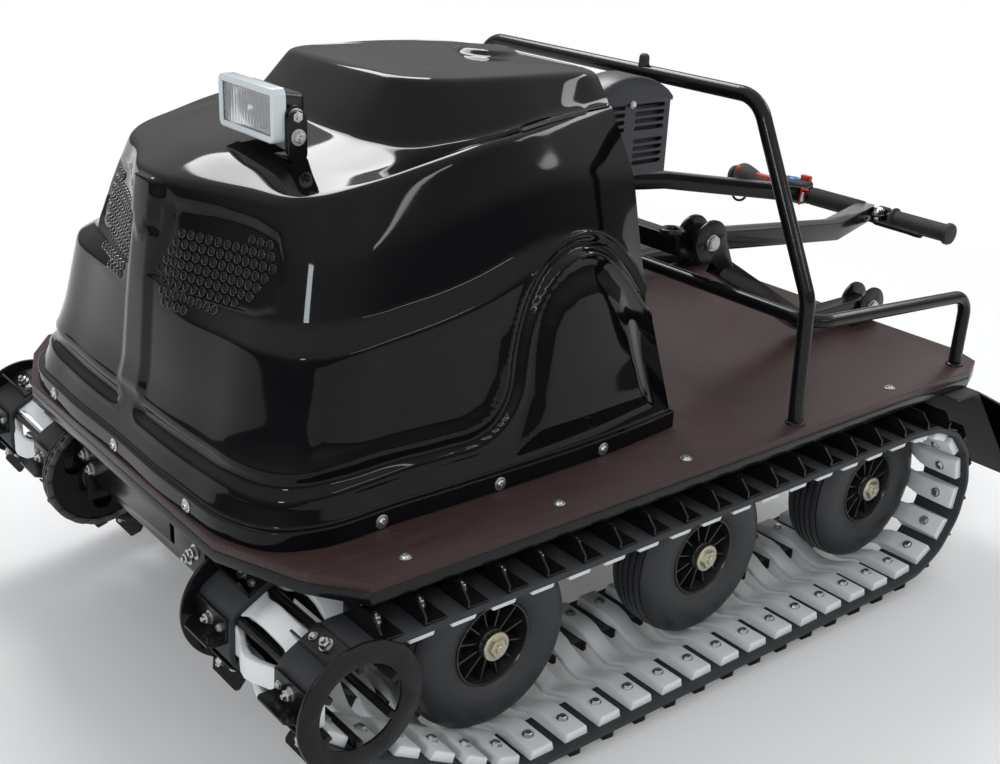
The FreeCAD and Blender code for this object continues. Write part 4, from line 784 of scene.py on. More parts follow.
def inside_depth(y, z, outline):
    """How far inside an outline a point of the side view lies, or below 0 outside."""
    nearest, inside = 1.0e9, False
    for (y0, z0), (y1, z1) in zip(outline, outline[1:] + outline[:1]):
        span = (y1 - y0) ** 2 + (z1 - z0) ** 2
        share = max(0.0, min(1.0, ((y - y0) * (y1 - y0) + (z - z0) * (z1 - z0)) / span))
        nearest = min(nearest, math.hypot(y - y0 - share * (y1 - y0), z - z0 - share * (z1 - z0)))
        if (z0 > z) != (z1 > z) and y < y0 + (z - z0) / (z1 - z0) * (y1 - y0):
            inside = not inside
    return nearest if inside else -nearest


# %% Press the forms into the skin
def press_hood(mesh):
    """Move the fine skin's points to make its channel, panels and rib."""
    channel = line_tree(CHANNEL)
    normals = [vert.normal.copy() for vert in mesh.vertices]
    for vert, normal in zip(mesh.vertices, normals):
        x, y, z = vert.co.x * 1000.0, (vert.co.y - MIDDLE_AXLE_Y) * 1000.0, vert.co.z * 1000.0
        if z < BAND_TOP_Z + 3.0:
            continue
        move = 0.0
        foot = eased((z - BAND_TOP_Z - 1.0) / 12.0)
        side = eased((abs(x) - SIDE_FROM_X) / 30.0)
        near = channel.find((abs(vert.co.x), vert.co.y, vert.co.z))[2] * 1000.0
        share = near / CHANNEL_HALF_WIDTH
        if share < 1.6:
            dip = 1.0 - eased((share - 0.25) / 0.75)
            lip = math.exp(-((share - 1.15) / 0.22) ** 2)
            move += CHANNEL_LIP * lip - CHANNEL_DEPTH * dip
        if side > 0.0:
            panel = inside_depth(y, z, PANEL)
            if panel > -4.0:
                move -= side * PANEL_DEPTH * eased((panel + 4.0) / 16.0)
            arch = inside_depth(y, z, ARCH)
            if arch > 0.0:
                move += side * ARCH_RISE * eased(arch / 34.0)
        if abs(x) < 60.0 and y < -600.0:
            width = RIB_HALF_WIDTH + 6.0 * eased((520.0 - z) / 90.0)
            rib = 1.0 - eased((abs(x) - width) / 6.0)
            rib *= eased((z - RIB_FOOT_Z) / 10.0) * (1.0 - eased((z - RIB_TOP_Z) / 12.0))
            plate = eased((inside_depth(x, z, SHIELD) + 1.0) / 4.0)
            move += max(RIB_RISE * rib, SHIELD_RISE * plate)
        if 30.0 < abs(x) < 250.0 and y < -560.0 and 590.0 < z < 712.0:
            panel = inside_depth(abs(x), z, VENT_PANEL)
            move -= VENT_PANEL_DEPTH * eased((panel + 1.0) / 7.0)
        if z > CROWN_FROM_Z:
            past = math.hypot(x - BOSS[0], y - BOSS[1]) - BOSS_TOP_RADIUS
            move += BOSS_RISE * (1.0 - eased(past / (BOSS_RADIUS - BOSS_TOP_RADIUS)))
            move -= BOSS_DISH * (1.0 - eased((past + 12.0) / 10.0))
        vert.co += normal * (move * foot / 1000.0)


# %% [markdown]
# The skin's open edges are turned in by the wall's thickness, so the moulding shows
# its edge at the rear and at the foot. A thin lining then closes it from inside.

# %% The hood's skin with its edge turned in
fine = subdivided(bm, "hood", 2)
press_hood(fine)
inner = subdivided(bm, "lining", 1)
press_hood(inner)
bm.free()
hood_low, hood_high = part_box("hood")
rim = bmesh.new()
rim.from_mesh(fine)
boundary = [edge for edge in rim.edges if edge.is_boundary]
edge_normals = {vert: vert.normal.copy() for edge in boundary for vert in edge.verts}
lip = bmesh.ops.extrude_edge_only(rim, edges=boundary)
originals = kdtree.KDTree(len(edge_normals))
order = list(edge_normals)
for index, vert in enumerate(order):
    originals.insert(vert.co, index)
originals.balance()
for vert in points_of(lip):
    source = order[originals.find(vert.co)[1]]
    vert.co -= edge_normals[source] * (HOOD_WALL / 1000.0)
rim.to_mesh(fine)
rim.free()
hood = finish_mesh(fine, "hood_skin", HOOD_GLOSS, replaces=["hood"], sharp=50.0)
HOOD_SURFACE = BVHTree.FromObject(hood, bpy.context.evaluated_depsgraph_get())
print("hood box in the solid:", [round(v, 3) for v in hood_low], [round(v, 3) for v in hood_high])

# %% The hood's lining
lining = bmesh.new()
lining.from_mesh(inner)
for vert, normal in [(vert, vert.normal.copy()) for vert in lining.verts]:
    vert.co -= normal * (HOOD_WALL / 1000.0)
bmesh.ops.reverse_faces(lining, faces=lining.faces)
finish_piece(lining, "hood_lining", HOOD_LINING)

# %% [markdown]
# ## Tracks
# Each track is two rubber belts. Steel angle lugs stand on them to bite the snow,
# and white plastic saddles join them and carry the wheels. The loop is a tight
# string round the drum, the end wheels and the bend of the upper run, so a few
# radii give every shoe its place.

# %% The loop of a track
DRUM = (-664.0, 240.0, 58.0)
AXLE_Z = 161.3
WHEEL_PATH = 130.3
AXLES = (-395.0, 0.0, 395.0)
TOP_RUN_Z = 299.0
SLACK_RADIUS = 60.0
SHOES = 46
TRACK_X = 350.0
BELT_X = 92.0
BELT_WIDTH = 80.0
BELT_THICK = 8.0
BELT_BEND = 11.0
LUG_HEIGHT = 25.9
SIDES = ((1.0, "left"), (-1.0, "right"))


def track_loop():
    """The belts' inner face as (y, z), one point where each two shoes meet."""
    first_y, last_y = AXLES[0], AXLES[-1]
    wheel_z = AXLE_Z + 3.0
    rounds = [DRUM, (first_y, wheel_z, WHEEL_PATH), (last_y, wheel_z, WHEEL_PATH),
              (last_y - SLACK_RADIUS / 2.0, TOP_RUN_Z - SLACK_RADIUS, SLACK_RADIUS)]
    leaving = []
    for (y0, z0, r0), (y1, z1, r1) in zip(rounds, rounds[1:] + rounds[:1]):
        heading = math.atan2(z1 - z0, y1 - y0)
        lean = math.asin((r1 - r0) / math.hypot(y1 - y0, z1 - z0))
        leaving.append(heading - math.pi / 2.0 - lean)
    runs = []
    for index, (y0, z0, r0) in enumerate(rounds):
        start, end = leaving[index - 1], leaving[index]
        turn = (end - start) % (2.0 * math.pi)
        y1, z1, r1 = rounds[(index + 1) % len(rounds)]
        first = Vector((y0 + r0 * math.cos(end), z0 + r0 * math.sin(end)))
        last = Vector((y1 + r1 * math.cos(end), z1 + r1 * math.sin(end)))
        runs.append((r0 * turn, lambda s, y=y0, z=z0, r=r0, a=start: Vector(
            (y + r * math.cos(a + s / r), z + r * math.sin(a + s / r)))))
        runs.append(((last - first).length,
                     lambda s, p=first, q=last: p + (q - p).normalized() * s))
    pitch = sum(length for length, _ in runs) / SHOES
    points = []
    for count in range(SHOES):
        distance = pitch * count
        for length, place in runs:
            if distance <= length:
                points.append(place(distance))
                break
            distance -= length
    return points, pitch


LOOP, PITCH = track_loop()
print(SHOES, "shoes,", round(PITCH, 1), "mm apart")


def shoe_matrix(index, side):
    """The frame of a shoe: X across the track, Y along it, Z away from the wheels."""
    first, last = LOOP[index], LOOP[(index + 1) % SHOES]
    along = (last - first).normalized()
    outward = Vector((along.y, -along.x))
    middle = (first + last) / 2.0
    matrix = Matrix.Identity(4)
    matrix.col[0].xyz = (1.0, 0.0, 0.0)
    matrix.col[1].xyz = (0.0, along.x, along.y)
    matrix.col[2].xyz = (0.0, outward.x, outward.y)
    matrix.translation = at(side * TRACK_X, middle.x, middle.y)
    return matrix


# %% [markdown]
# A belt bends where its steel parts leave it free, between the shoes, so it is a
# loop of flat runs with rounded bends. It starts as a ring of edges, is pulled
# out to its width and is then given its thickness.

# %% Belts
def make_belts(side, label):
    """The two belts of one track."""
    bm = bmesh.new()
    for offset in (-BELT_X, BELT_X):
        x = side * TRACK_X + offset
        ring = [bm.verts.new(at(x - BELT_WIDTH / 2.0, p.x, p.y)) for p in LOOP]
        edges = [bm.edges.new(pair) for pair in zip(ring, ring[1:] + ring[:1])]
        pulled = bmesh.ops.extrude_edge_only(bm, edges=edges)
        bmesh.ops.translate(bm, verts=points_of(pulled), vec=(BELT_WIDTH / 1000.0, 0.0, 0.0))
    bmesh.ops.recalc_face_normals(bm, faces=bm.faces)
    bends = [edge for edge in bm.edges if not edge.is_boundary]
    round_edges(bm, bends, BELT_BEND, segments=3)
    face_away(bm, Vector((0.0, -0.1, 0.17)))
    bmesh.ops.solidify(bm, geom=bm.faces, thickness=-BELT_THICK / 1000.0)
    bmesh.ops.recalc_face_normals(bm, faces=bm.faces)
    corners = [edge for edge in bm.edges if len(edge.link_faces) == 2
               and edge.calc_face_angle(0.0) > math.radians(60.0)]
    round_edges(bm, corners, 1.2)
    return finish_piece(bm, "belts_" + label, BELT_RUBBER,
                        replaces=["track_belts_" + label])


# %% [markdown]
# A lug is a short piece of steel angle: a foot bolted through the belt, and an
# upright plate whose outer corner is cut away.

# %% Lugs
def lug_template(mirror):
    """One steel angle, with its cut corner on the side that the mirror gives."""
    bm = bmesh.new()
    steel = 0.003
    half, foot_length = 0.037, 0.031
    large_cut, small_cut = 0.015, 0.004
    foot = BELT_THICK / 1000.0
    top = (BELT_THICK + LUG_HEIGHT) / 1000.0
    outline = [(-half, foot), (half, foot), (half, top - large_cut), (half - large_cut, top),
               (-half + small_cut, top), (-half, top - small_cut)]
    verts = [bm.verts.new((x * mirror, steel / 2.0, z)) for x, z in outline]
    raised = bmesh.ops.extrude_face_region(bm, geom=[bm.faces.new(verts)])
    bmesh.ops.translate(bm, verts=points_of(raised), vec=(0.0, -steel, 0.0))
    middle = Matrix.Translation((0.0, -0.0145, foot + steel / 2.0))
    made = bmesh.ops.create_cube(
        bm, size=1.0, matrix=middle @ Matrix.Diagonal((2.0 * half, foot_length, steel, 1.0)))
    round_edges(bm, {e for v in made["verts"] for e in v.link_edges}, 0.8, segments=1)
    return as_template(bm, "lug")


LUGS = {1: lug_template(1.0), -1: lug_template(-1.0)}
NUT = bolt_template("nut", across=12.0, height=6.5, washer=8.5, stud=4.0)
RIVET = bolt_template("rivet", across=8.0, height=3.0, washer=5.5)
SHOE_BOLT = bolt_template("shoe_bolt", across=11.0, height=3.5, washer=8.0)


def make_lugs(side, label):
    """The lugs of one track, and the nuts and rivets that hold them."""
    plates, fasteners = bmesh.new(), bmesh.new()
    for index in range(SHOES):
        shoe = shoe_matrix(index, side)
        for offset, turn in ((-BELT_X, -1), (BELT_X, 1)):
            foot = shoe @ Matrix.Translation((offset / 1000.0, 0.0, 0.0))
            set_down(plates, LUGS[turn], [foot])
            on_steel = (BELT_THICK + 3.0) / 1000.0
            set_down(fasteners, NUT, [foot @ Matrix.Translation((0.0, -0.016, on_steel))])
            set_down(fasteners, RIVET, [
                foot @ Matrix.Translation((-turn * 0.024, -0.014, on_steel))])
    finish_piece(plates, "lugs_" + label, BLACK_PAINT)
    finish_piece(fasteners, "lug_nuts_" + label, ZINC)


# %% [markdown]
# A saddle is moulded in one piece: a pad bolted on each belt, and between them a
# hollow that the wheel runs in, narrower where the plastic is free. Its section
# is drawn first, then pulled out along the track and shaped.

# %% Saddles
SADDLE_HALF = 122.0
SADDLE_THICK = 14.0
SADDLE_LENGTH = 41.0
SADDLE_DIP = 21.0
SADDLE_DIP_BELOW = 18.0
SADDLE_WAIST = 0.26
PAD_INNER = 66.0
HOLLOW_BELOW = 52.0


def saddle_template():
    """One saddle about the origin. Its middle dips away from the wheel."""
    bm = bmesh.new()
    upper, lower = [], []
    for step in range(9):
        x = PAD_INNER * (step / 4.0 - 1.0)
        dip = 0.5 + 0.5 * math.cos(math.pi * x / PAD_INNER)
        upper.append((x, -SADDLE_THICK + SADDLE_DIP * dip))
        lower.append((x * (HOLLOW_BELOW / PAD_INNER), SADDLE_DIP_BELOW * dip))
    outline = [(-SADDLE_HALF, 0.0), (-SADDLE_HALF, -SADDLE_THICK), *upper,
               (SADDLE_HALF, -SADDLE_THICK), (SADDLE_HALF, 0.0), *reversed(lower)]
    half = SADDLE_LENGTH / 2000.0
    verts = [bm.verts.new((x / 1000.0, -half, z / 1000.0)) for x, z in outline]
    raised = bmesh.ops.extrude_face_region(bm, geom=[bm.faces.new(verts)])
    bmesh.ops.translate(bm, verts=points_of(raised), vec=(0.0, 2.0 * half, 0.0))
    for vert in bm.verts:
        waist = 1.0 - SADDLE_WAIST * (1.0 - eased((abs(vert.co.x) * 1000.0 - 30.0) / 34.0))
        draft = 1.0 + 0.012 * vert.co.z * 1000.0
        vert.co.y *= waist * min(1.0, draft)
    bmesh.ops.recalc_face_normals(bm, faces=bm.faces)
    edges = [edge for edge in bm.edges if edge.calc_face_angle(0.0) > math.radians(50.0)]
    round_edges(bm, edges, 2.2)
    return as_template(bm, "saddle")


SADDLE = saddle_template()
print("saddle:", len(SADDLE.polygons), "faces")


def make_saddles(side, label):
    """The saddles of one track and the bolts in their pads."""
    bodies, bolts = bmesh.new(), bmesh.new()
    shoes = [shoe_matrix(index, side) for index in range(SHOES)]
    set_down(bodies, SADDLE, shoes)
    flip = Matrix.Rotation(math.pi, 4, "X")
    for shoe in shoes:
        set_down(bolts, SHOE_BOLT, [
            shoe @ Matrix.Translation((x / 1000.0, 0.0, -SADDLE_THICK / 1000.0)) @ flip
            for x in (-BELT_X, BELT_X)])
    finish_piece(bodies, "saddles_" + label, SADDLE_PLASTIC,
                 replaces=["track_saddles_" + label], sharp=50.0)
    finish_piece(bolts, "saddle_bolts_" + label, ZINC)


for side, label in SIDES:
    make_belts(side, label)
    make_lugs(side, label)
    make_saddles(side, label)

# %% [markdown]
# ## Wheels
# The tyres are pneumatic, with plain ribs round the tread and a rounded shoulder.
# A turned shape suits them, so each is one profile spun about its axle.

# %% Tyres
TYRE_RADIUS = 127.0
RIBS = (-26.0, -15.5, -5.2, 5.2, 15.5, 26.0)


def tyre_profile():
    """The section from bead to bead: walls, shoulders and tread ribs."""
    groove = 3.6
    wall = [(60.0, 33.0), (63.0, 36.5), (68.0, 38.0), (72.0, 40.5), (84.0, 42.3), (97.0, 42.3),
            (108.0, 40.0), (115.5, 36.0), (121.0, 31.0), (123.2, 27.5)]
    tread = []
    for low, high in zip(RIBS, RIBS[1:]):
        crown = [TYRE_RADIUS - 0.0035 * x * x for x in (low, high)]
        tread += [(crown[0] - groove, low + 0.8), (crown[0] - 0.4, low + 1.4),
                  (crown[0], low + 2.6), (crown[1], high - 2.6),
                  (crown[1] - 0.4, high - 1.4), (crown[1] - groove, high - 0.8)]
    left = [(r, -x) for r, x in wall]
    right = [(r, x) for r, x in reversed(wall)]
    return left + tread + right


def make_tyres(side, label):
    """The three tyres of one side."""
    bm = bmesh.new()
    profile = tyre_profile()
    for y in AXLES:
        add_turned(bm, profile, (side * TRACK_X, y, AXLE_Z), (1.0, 0.0, 0.0), steps=72)
    close_up(bm)
    finish_piece(bm, "tyres_" + label + "_dressed", TYRE_RUBBER,
                 replaces=["tyres_" + label], sharp=40.0)


# %% [markdown]
# A rim is moulded plastic: a barrel, a dished web, thin spokes that stiffen it and
# a hub. The hub's bearing is capped by a bright disc with a nut on it.

# %% Rims
# each section is (radius, distance from the wheel's middle plane)
RIM_OUTER = ((60.4, 33.0), (59.5, 35.0), (57.0, 35.0), (55.5, 33.0), (54.5, 12.0), (50.0, 6.0),
             (30.0, 5.0), (24.0, 8.0), (22.0, 14.0), (21.0, 31.0), (19.0, 33.0), (9.0, 33.0))
RIM_INNER = ((60.4, -33.0), (59.5, -35.0), (57.0, -35.0), (55.5, -33.0), (54.5, -8.0),
             (50.0, 0.0), (24.0, 0.0), (22.0, -33.0), (9.0, -33.0))
HUB_DISC = ((20.5, 34.6), (20.5, 40.6), (19.6, 41.6), (15.6, 41.9), (15.0, 41.3), (0.4, 41.3))
HUB_NUT = ((13.8, 41.0), (13.8, 46.4), (12.6, 47.6), (0.4, 47.6))
HUB_STUD = ((6.0, 47.4), (6.0, 49.6), (5.2, 50.3), (0.4, 50.3))
SPOKES = 12
SPOKE_HALF = Vector((9.0, 1.3, 17.5))


def make_rims(side, label):
    """The three rims of one side and the bright caps on their hubs."""
    bm, caps = bmesh.new(), bmesh.new()
    for y in AXLES:
        centre = (side * TRACK_X, y, AXLE_Z)
        out = (side, 0.0, 0.0)
        add_turned(bm, RIM_OUTER, centre, out, steps=48)
        add_turned(bm, RIM_INNER, centre, out, steps=48)
        for count in range(SPOKES):
            turn = Matrix.Rotation(2.0 * math.pi * (count + 0.5) / SPOKES, 4, "X")
            spot = Vector(centre) + turn @ Vector((side * 20.0, 0.0, 38.5))
            add_block(bm, spot - SPOKE_HALF, spot + SPOKE_HALF, 0.6, 1, turn)
        add_turned(caps, HUB_DISC, centre, out, steps=36)
        add_turned(caps, HUB_NUT, centre, out, steps=6)
        add_turned(caps, HUB_STUD, centre, out, steps=16)
    close_up(bm)
    close_up(caps)
    finish_piece(bm, "rims_" + label + "_dressed", RIM_PLASTIC,
                 replaces=["rims_" + label])
    finish_piece(caps, "hub_caps_" + label, YELLOW_ZINC)


for side, label in SIDES:
    make_tyres(side, label)
    make_rims(side, label)

# %% [markdown]
# ## Frames with dressed edges
# Sawn and bent steel is filed at its corners and then thick with paint, so no edge
# on it is a knife. A copy of each such CAD mesh is merged, its flat faces are made
# whole again, and its corners get a small radius that catches the light. Redrawing
# the frames by hand would gain nothing over rounding the true forms.

# %% Round a solid's corners
def rounded_copy(solid, radius, material):
    """Replace a CAD node with a copy whose sharp corners are rounded."""
    bm = bmesh.new()
    bm.from_mesh(frame["nodes"][solid].data)
    bmesh.ops.remove_doubles(bm, verts=bm.verts, dist=0.00002)
    bmesh.ops.dissolve_limit(bm, angle_limit=math.radians(1.0), verts=bm.verts, edges=bm.edges)
    corners = [edge for edge in bm.edges if len(edge.link_faces) == 2
               and edge.calc_face_angle(0.0) > math.radians(38.0)]
    round_edges(bm, corners, radius)
    body = frame["nodes"][solid]["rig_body"]
    return finish_piece(bm, solid + "_dressed", material, body, [solid], sharp=50.0)


for solid, radius in (
        ("deck_frame", 1.5), ("chassis_frame", 1.5), ("front_plate", 0.8), ("front_guard", 0.8),
        ("axle_brackets", 0.8), ("drive_drum_left", 1.0), ("drive_drum_right", 1.0),
        ("rear_hinge_plates", 1.0), ("tow_hitch", 1.5)):
    rounded_copy(solid, radius, BLACK_PAINT)
rounded_copy("deck_panel", 1.0, DECK_BOARD)
for solid in ("mud_flap_left", "mud_flap_right"):
    rounded_copy(solid, 1.5, FLAP_RUBBER)
for solid in ("lower_arms", "handle_cross_tube", "knee_plates"):
    rounded_copy(solid, 1.5, BLACK_PAINT)
rounded_copy("upper_arms", 1.8, BLACK_PAINT)

# %% [markdown]
# ## Vents in the nose
# Each front face of the hood lets cooling air in through a field of short tubes,
# moulded side by side like a honeycomb. One tube is turned, and a copy stands at
# each crossing of a staggered grid, square to the skin where a line from the
# front meets it.

# %% One vent tube
VENT_FIELD = ((38, 628), (44, 596), (58, 578), (96, 574), (163, 588), (198, 612), (224, 646),
              (216, 684), (158, 680), (119, 680), (71, 670), (45, 646))
VENT_PITCH = 13.8
VENT_TUBE = ((6.5, -1.2), (6.2, 0.9), (5.6, 2.0), (4.9, 2.1), (4.3, 1.2), (4.1, 0.0))


def painted_vent_shade_template():
    """A dark disc of painted shade that stands for the shade deep inside one tube."""
    bm = bmesh.new()
    bmesh.ops.create_circle(bm, cap_ends=True, segments=12, radius=0.0043,
                            matrix=Matrix.Translation((0.0, 0.0, 0.0003)))
    return as_template(bm, "painted_vent_shade")


# %% Set the vents on the skin
FAR_OUT = 900.0
VENT_FIRST_X, VENT_FIRST_Z = 30.0, 570.0
VENT_MARGIN = 3.0


def hood_met_from(start, heading):
    """Where a ray first meets the hood's skin, and the skin's normal there."""
    return HOOD_SURFACE.ray_cast(at(*start), Vector(heading))[:2]


def vent_places():
    """Where each vent stands on the skin, and which way it points."""
    places = []
    for row in range(10):
        z = VENT_FIRST_Z + row * VENT_PITCH * 0.866
        for column in range(16):
            x = VENT_FIRST_X + (column + 0.5 * (row % 2)) * VENT_PITCH
            if inside_depth(x, z, VENT_FIELD) < VENT_MARGIN:
                continue
            for side in (1.0, -1.0):
                place, normal = hood_met_from((side * x, -FAR_OUT, z), (0.0, 1.0, 0.0))
                if place:
                    places.append(Matrix.Translation(place) @ turned_to(normal))
    return places


vents, vent_shade_discs = bmesh.new(), bmesh.new()
places = vent_places()
set_down(vents, turned_template("vent", VENT_TUBE, 12), places)
# each tube gets a dark disc of painted shade for its deep, unlit bore
set_down(vent_shade_discs, painted_vent_shade_template(), places)
finish_piece(vents, "hood_vents", VENT_GLOSS)
finish_piece(vent_shade_discs, "hood_vent_painted_shade", VENT_SHADE_PAINT)
print(len(places), "vents")

# %% [markdown]
# ## Fasteners of the hood and the deck
# Round-headed bolts with large bright washers hold the hood's foot to the deck,
# and pan heads hold the board to its frame. Each is turned once and copied.

# %% Bolts round the hood and on the deck
def button_template(name, washer, head, height):
    """A round-headed bolt on a washer, with a round socket in its head."""
    profile = [
        (washer, 0.0), (washer, 1.2), (washer - 0.6, 1.6), (head, 1.6),
        (head * 0.96, height * 0.55), (head * 0.72, height * 0.95), (head * 0.5, height),
        (head * 0.42, height), (head * 0.40, height * 0.45), (0.05, height * 0.45)]
    return turned_template(name, profile, 20)


HOOD_BOLT = button_template("hood_bolt", 9.0, 5.6, 4.6)
PAN_HEAD = button_template("pan_head", 8.2, 6.4, 4.2)
BOLT_SINK = 0.0004
bolts = bmesh.new()
rays = [((x, -FAR_OUT, 378.0), (0.0, 1.0, 0.0)) for x in (-200.0, 0.0, 200.0)]
rays += [((side * FAR_OUT, y, 377.0), (-side, 0.0, 0.0))
         for side in (1.0, -1.0) for y in (-553.0, -377.0, -199.0)]
for start, heading in rays:
    place, normal = hood_met_from(start, heading)
    set_down(bolts, HOOD_BOLT, [
        Matrix.Translation(place - normal * BOLT_SINK) @ turned_to(normal)])
finish_piece(bolts, "hood_bolts", ZINC)
heads = bmesh.new()
DECK_TOP = 367.0
set_down(heads, PAN_HEAD, [
    standing_on((side * 427.0, y, DECK_TOP), (0.0, 0.0, 1.0))
    for side in (1.0, -1.0) for y in (-568.0, -338.0, -112.0, 340.0)])
finish_piece(heads, "deck_bolts", ZINC)

# %% [markdown]
# ## Chain drive
# A roller chain brings the engine's power down to the drum's axle. Its path is the
# tight string round two sprockets, cut into links of one pitch. Links alternate
# between narrow and wide, so one pair of side plates with its roller is modelled
# and set down with its width changed.

# %% A flat plate cut to an outline
def cut_plate(bm, outlines, thickness, edge=0.5, matrix=None):
    """A plate in the XY plane: the first outline is its edge, the rest are holes."""
    curve = bpy.data.curves.new("plate", "CURVE")
    curve.dimensions = "2D"
    curve.fill_mode = "BOTH"
    curve.extrude = max(0.0, thickness / 2.0 - edge) / 1000.0
    curve.bevel_depth = edge / 1000.0
    curve.bevel_resolution = 1
    curve.offset = -edge / 1000.0
    for outline in outlines:
        spline = curve.splines.new("POLY")
        spline.points.add(len(outline) - 1)
        spline.use_cyclic_u = True
        for knot, (u, v) in zip(spline.points, outline):
            knot.co = (u / 1000.0, v / 1000.0, 0.0, 1.0)
    holder = bpy.data.objects.new("plate", curve)
    bpy.context.scene.collection.objects.link(holder)
    bpy.context.view_layer.update()
    mesh = bpy.data.meshes.new_from_object(
        holder.evaluated_get(bpy.context.evaluated_depsgraph_get()))
    bpy.data.objects.remove(holder)
    bpy.data.curves.remove(curve)
    if matrix:
        mesh.transform(matrix)
    bm.from_mesh(mesh)
    bpy.data.meshes.remove(mesh)


def circle(radius, u=0.0, v=0.0, sides=24, start=0.0):
    """Points round a circle, as an outline for a plate."""
    return [(u + radius * math.cos(start + 2.0 * math.pi * k / sides),
             v + radius * math.sin(start + 2.0 * math.pi * k / sides)) for k in range(sides)]


def stadium(first, last, radius, sides=8):
    """The outline round two equal circles, as for a link's side plate."""
    along = math.atan2(last[1] - first[1], last[0] - first[0])
    points = []
    for centre, start in ((last, along - math.pi / 2.0), (first, along + math.pi / 2.0)):
        angles = [start + math.pi * k / sides for k in range(sides + 1)]
        points += [(centre[0] + radius * math.cos(angle), centre[1] + radius * math.sin(angle))
                   for angle in angles]
    return points


def across_vehicle(x, y, z):
    """Puts a plate's U along the vehicle, its V upwards and its face to the side."""
    turn = Matrix(((0.0, 0.0, 1.0), (1.0, 0.0, 0.0), (0.0, 1.0, 0.0))).to_4x4()
    return Matrix.Translation(at(x, y, z)) @ turn


# %% Sprockets
CHAIN_X = -203.0
BIG_SPROCKET = (-664.0, 240.0, 77.0)
SMALL_SPROCKET = (-569.0, 295.0, 31.0)
LINK_PITCH = 12.7


def toothed(radius, teeth, root, tip):
    """The outline of a sprocket: a root and a tip for each tooth."""
    points = []
    for tooth in range(teeth):
        for share, reach in ((-0.30, root), (-0.10, root), (0.06, tip), (0.20, tip), (0.36, root)):
            angle = 2.0 * math.pi * (tooth + share) / teeth
            points.append(((radius + reach) * math.cos(angle), (radius + reach) * math.sin(angle)))
    return points


sprockets, hardware = bmesh.new(), bmesh.new()
y, z, radius = BIG_SPROCKET
THIRDS = [math.radians(120.0 * count) for count in range(3)]
windows = [circle(15.0, 43.0 * math.cos(turn), 43.0 * math.sin(turn))
           for turn in (math.radians(30.0) + third for third in THIRDS)]
cut_plate(sprockets, [toothed(radius, 38, -4.5, 2.2), circle(16.0)] + windows, 5.0, 0.6,
          across_vehicle(CHAIN_X, y, z))
add_turned(sprockets, [(15.2, -2.0), (30.0, -2.0), (30.0, 8.0), (24.0, 12.0), (15.2, 12.0)],
           (CHAIN_X, y, z), (1.0, 0.0, 0.0), steps=36)
for third in THIRDS:
    turn = math.radians(90.0) + third
    set_down(hardware, SHOE_BOLT, [standing_on(
        (CHAIN_X - 2.5, y + 40.0 * math.cos(turn), z + 40.0 * math.sin(turn)), (-1.0, 0.0, 0.0))])
y, z, radius = SMALL_SPROCKET
cut_plate(sprockets, [toothed(radius, 15, -4.0, 2.0), circle(7.5)], 5.0, 0.6,
          across_vehicle(CHAIN_X, y, z))
add_bar(sprockets, (CHAIN_X - 3.0, y, z), (-190.0, y, z), 8.0, round_ends=0.8)
finish_piece(sprockets, "sprockets_dressed", BLACK_PAINT,
             replaces=["chain_sprockets"])
finish_piece(hardware, "sprocket_bolts", ZINC)


# %% Roller chain
def chain_path():
    """The pitch points of the chain, as (y, z)."""
    (y0, z0, r0), (y1, z1, r1) = BIG_SPROCKET, SMALL_SPROCKET
    heading = math.atan2(z1 - z0, y1 - y0)
    span = math.hypot(y1 - y0, z1 - z0)
    lean = math.acos((r0 - r1) / span)
    straight = math.sqrt(span ** 2 - (r0 - r1) ** 2)
    lengths = (r0 * (2.0 * math.pi - 2.0 * lean), straight, r1 * 2.0 * lean, straight)
    links = 2 * round(sum(lengths) / LINK_PITCH / 2.0)
    points = []
    for link in range(links):
        s = sum(lengths) * link / links
        if s < lengths[0]:
            angle = heading + lean + s / r0
            points.append((y0 + r0 * math.cos(angle), z0 + r0 * math.sin(angle)))
            continue
        s -= lengths[0]
        angle = heading - lean
        if s < straight:
            share = s / straight
            points.append((y0 + share * (y1 - y0) + math.cos(angle) * (r0 + share * (r1 - r0)),
                           z0 + share * (z1 - z0) + math.sin(angle) * (r0 + share * (r1 - r0))))
            continue
        s -= straight
        if s < lengths[2]:
            angle = heading - lean + s / r1
            points.append((y1 + r1 * math.cos(angle), z1 + r1 * math.sin(angle)))
            continue
        share = (s - lengths[2]) / straight
        angle = heading + lean
        points.append((y1 + share * (y0 - y1) + math.cos(angle) * (r1 + share * (r0 - r1)),
                       z1 + share * (z0 - z1) + math.sin(angle) * (r1 + share * (r0 - r1))))
    return points


def link_template(half_width):
    """One link about its first pin, pointing along U."""
    bm = bmesh.new()
    for offset in (-half_width, half_width):
        cut_plate(bm, [stadium((0.0, 0.0), (LINK_PITCH, 0.0), 4.6, 5)], 1.6, 0.25,
                  Matrix.Translation((0.0, 0.0, offset / 1000.0)))
    bmesh.ops.create_cone(bm, cap_ends=True, segments=10, radius1=0.0039, radius2=0.0039,
                          depth=2.0 * (half_width - 0.8) / 1000.0)
    bmesh.ops.create_cone(bm, cap_ends=True, segments=8, radius1=0.0018, radius2=0.0018,
                          depth=2.0 * (half_width + 1.2) / 1000.0)
    return as_template(bm, "link")


chain = bmesh.new()
path = chain_path()
templates = (link_template(2.9), link_template(4.7))
for index, (first, last) in enumerate(zip(path, path[1:] + path[:1])):
    turn = math.atan2(last[1] - first[1], last[0] - first[0])
    set_down(chain, templates[index % 2], [
        across_vehicle(CHAIN_X, first[0], first[1]) @ Matrix.Rotation(turn, 4, "Z")])
finish_piece(chain, "chain_dressed", CHAIN_STEEL, replaces=["drive_chain"])
print(len(path), "links")

# %% [markdown]
# ## Bolts on the frame
# The brackets that carry the drums' axle are bolted through the front plate, and
# three more bolts stand on the outer face of each. All are one bolt, set down at
# each place and turned a little, as a fitter leaves them.

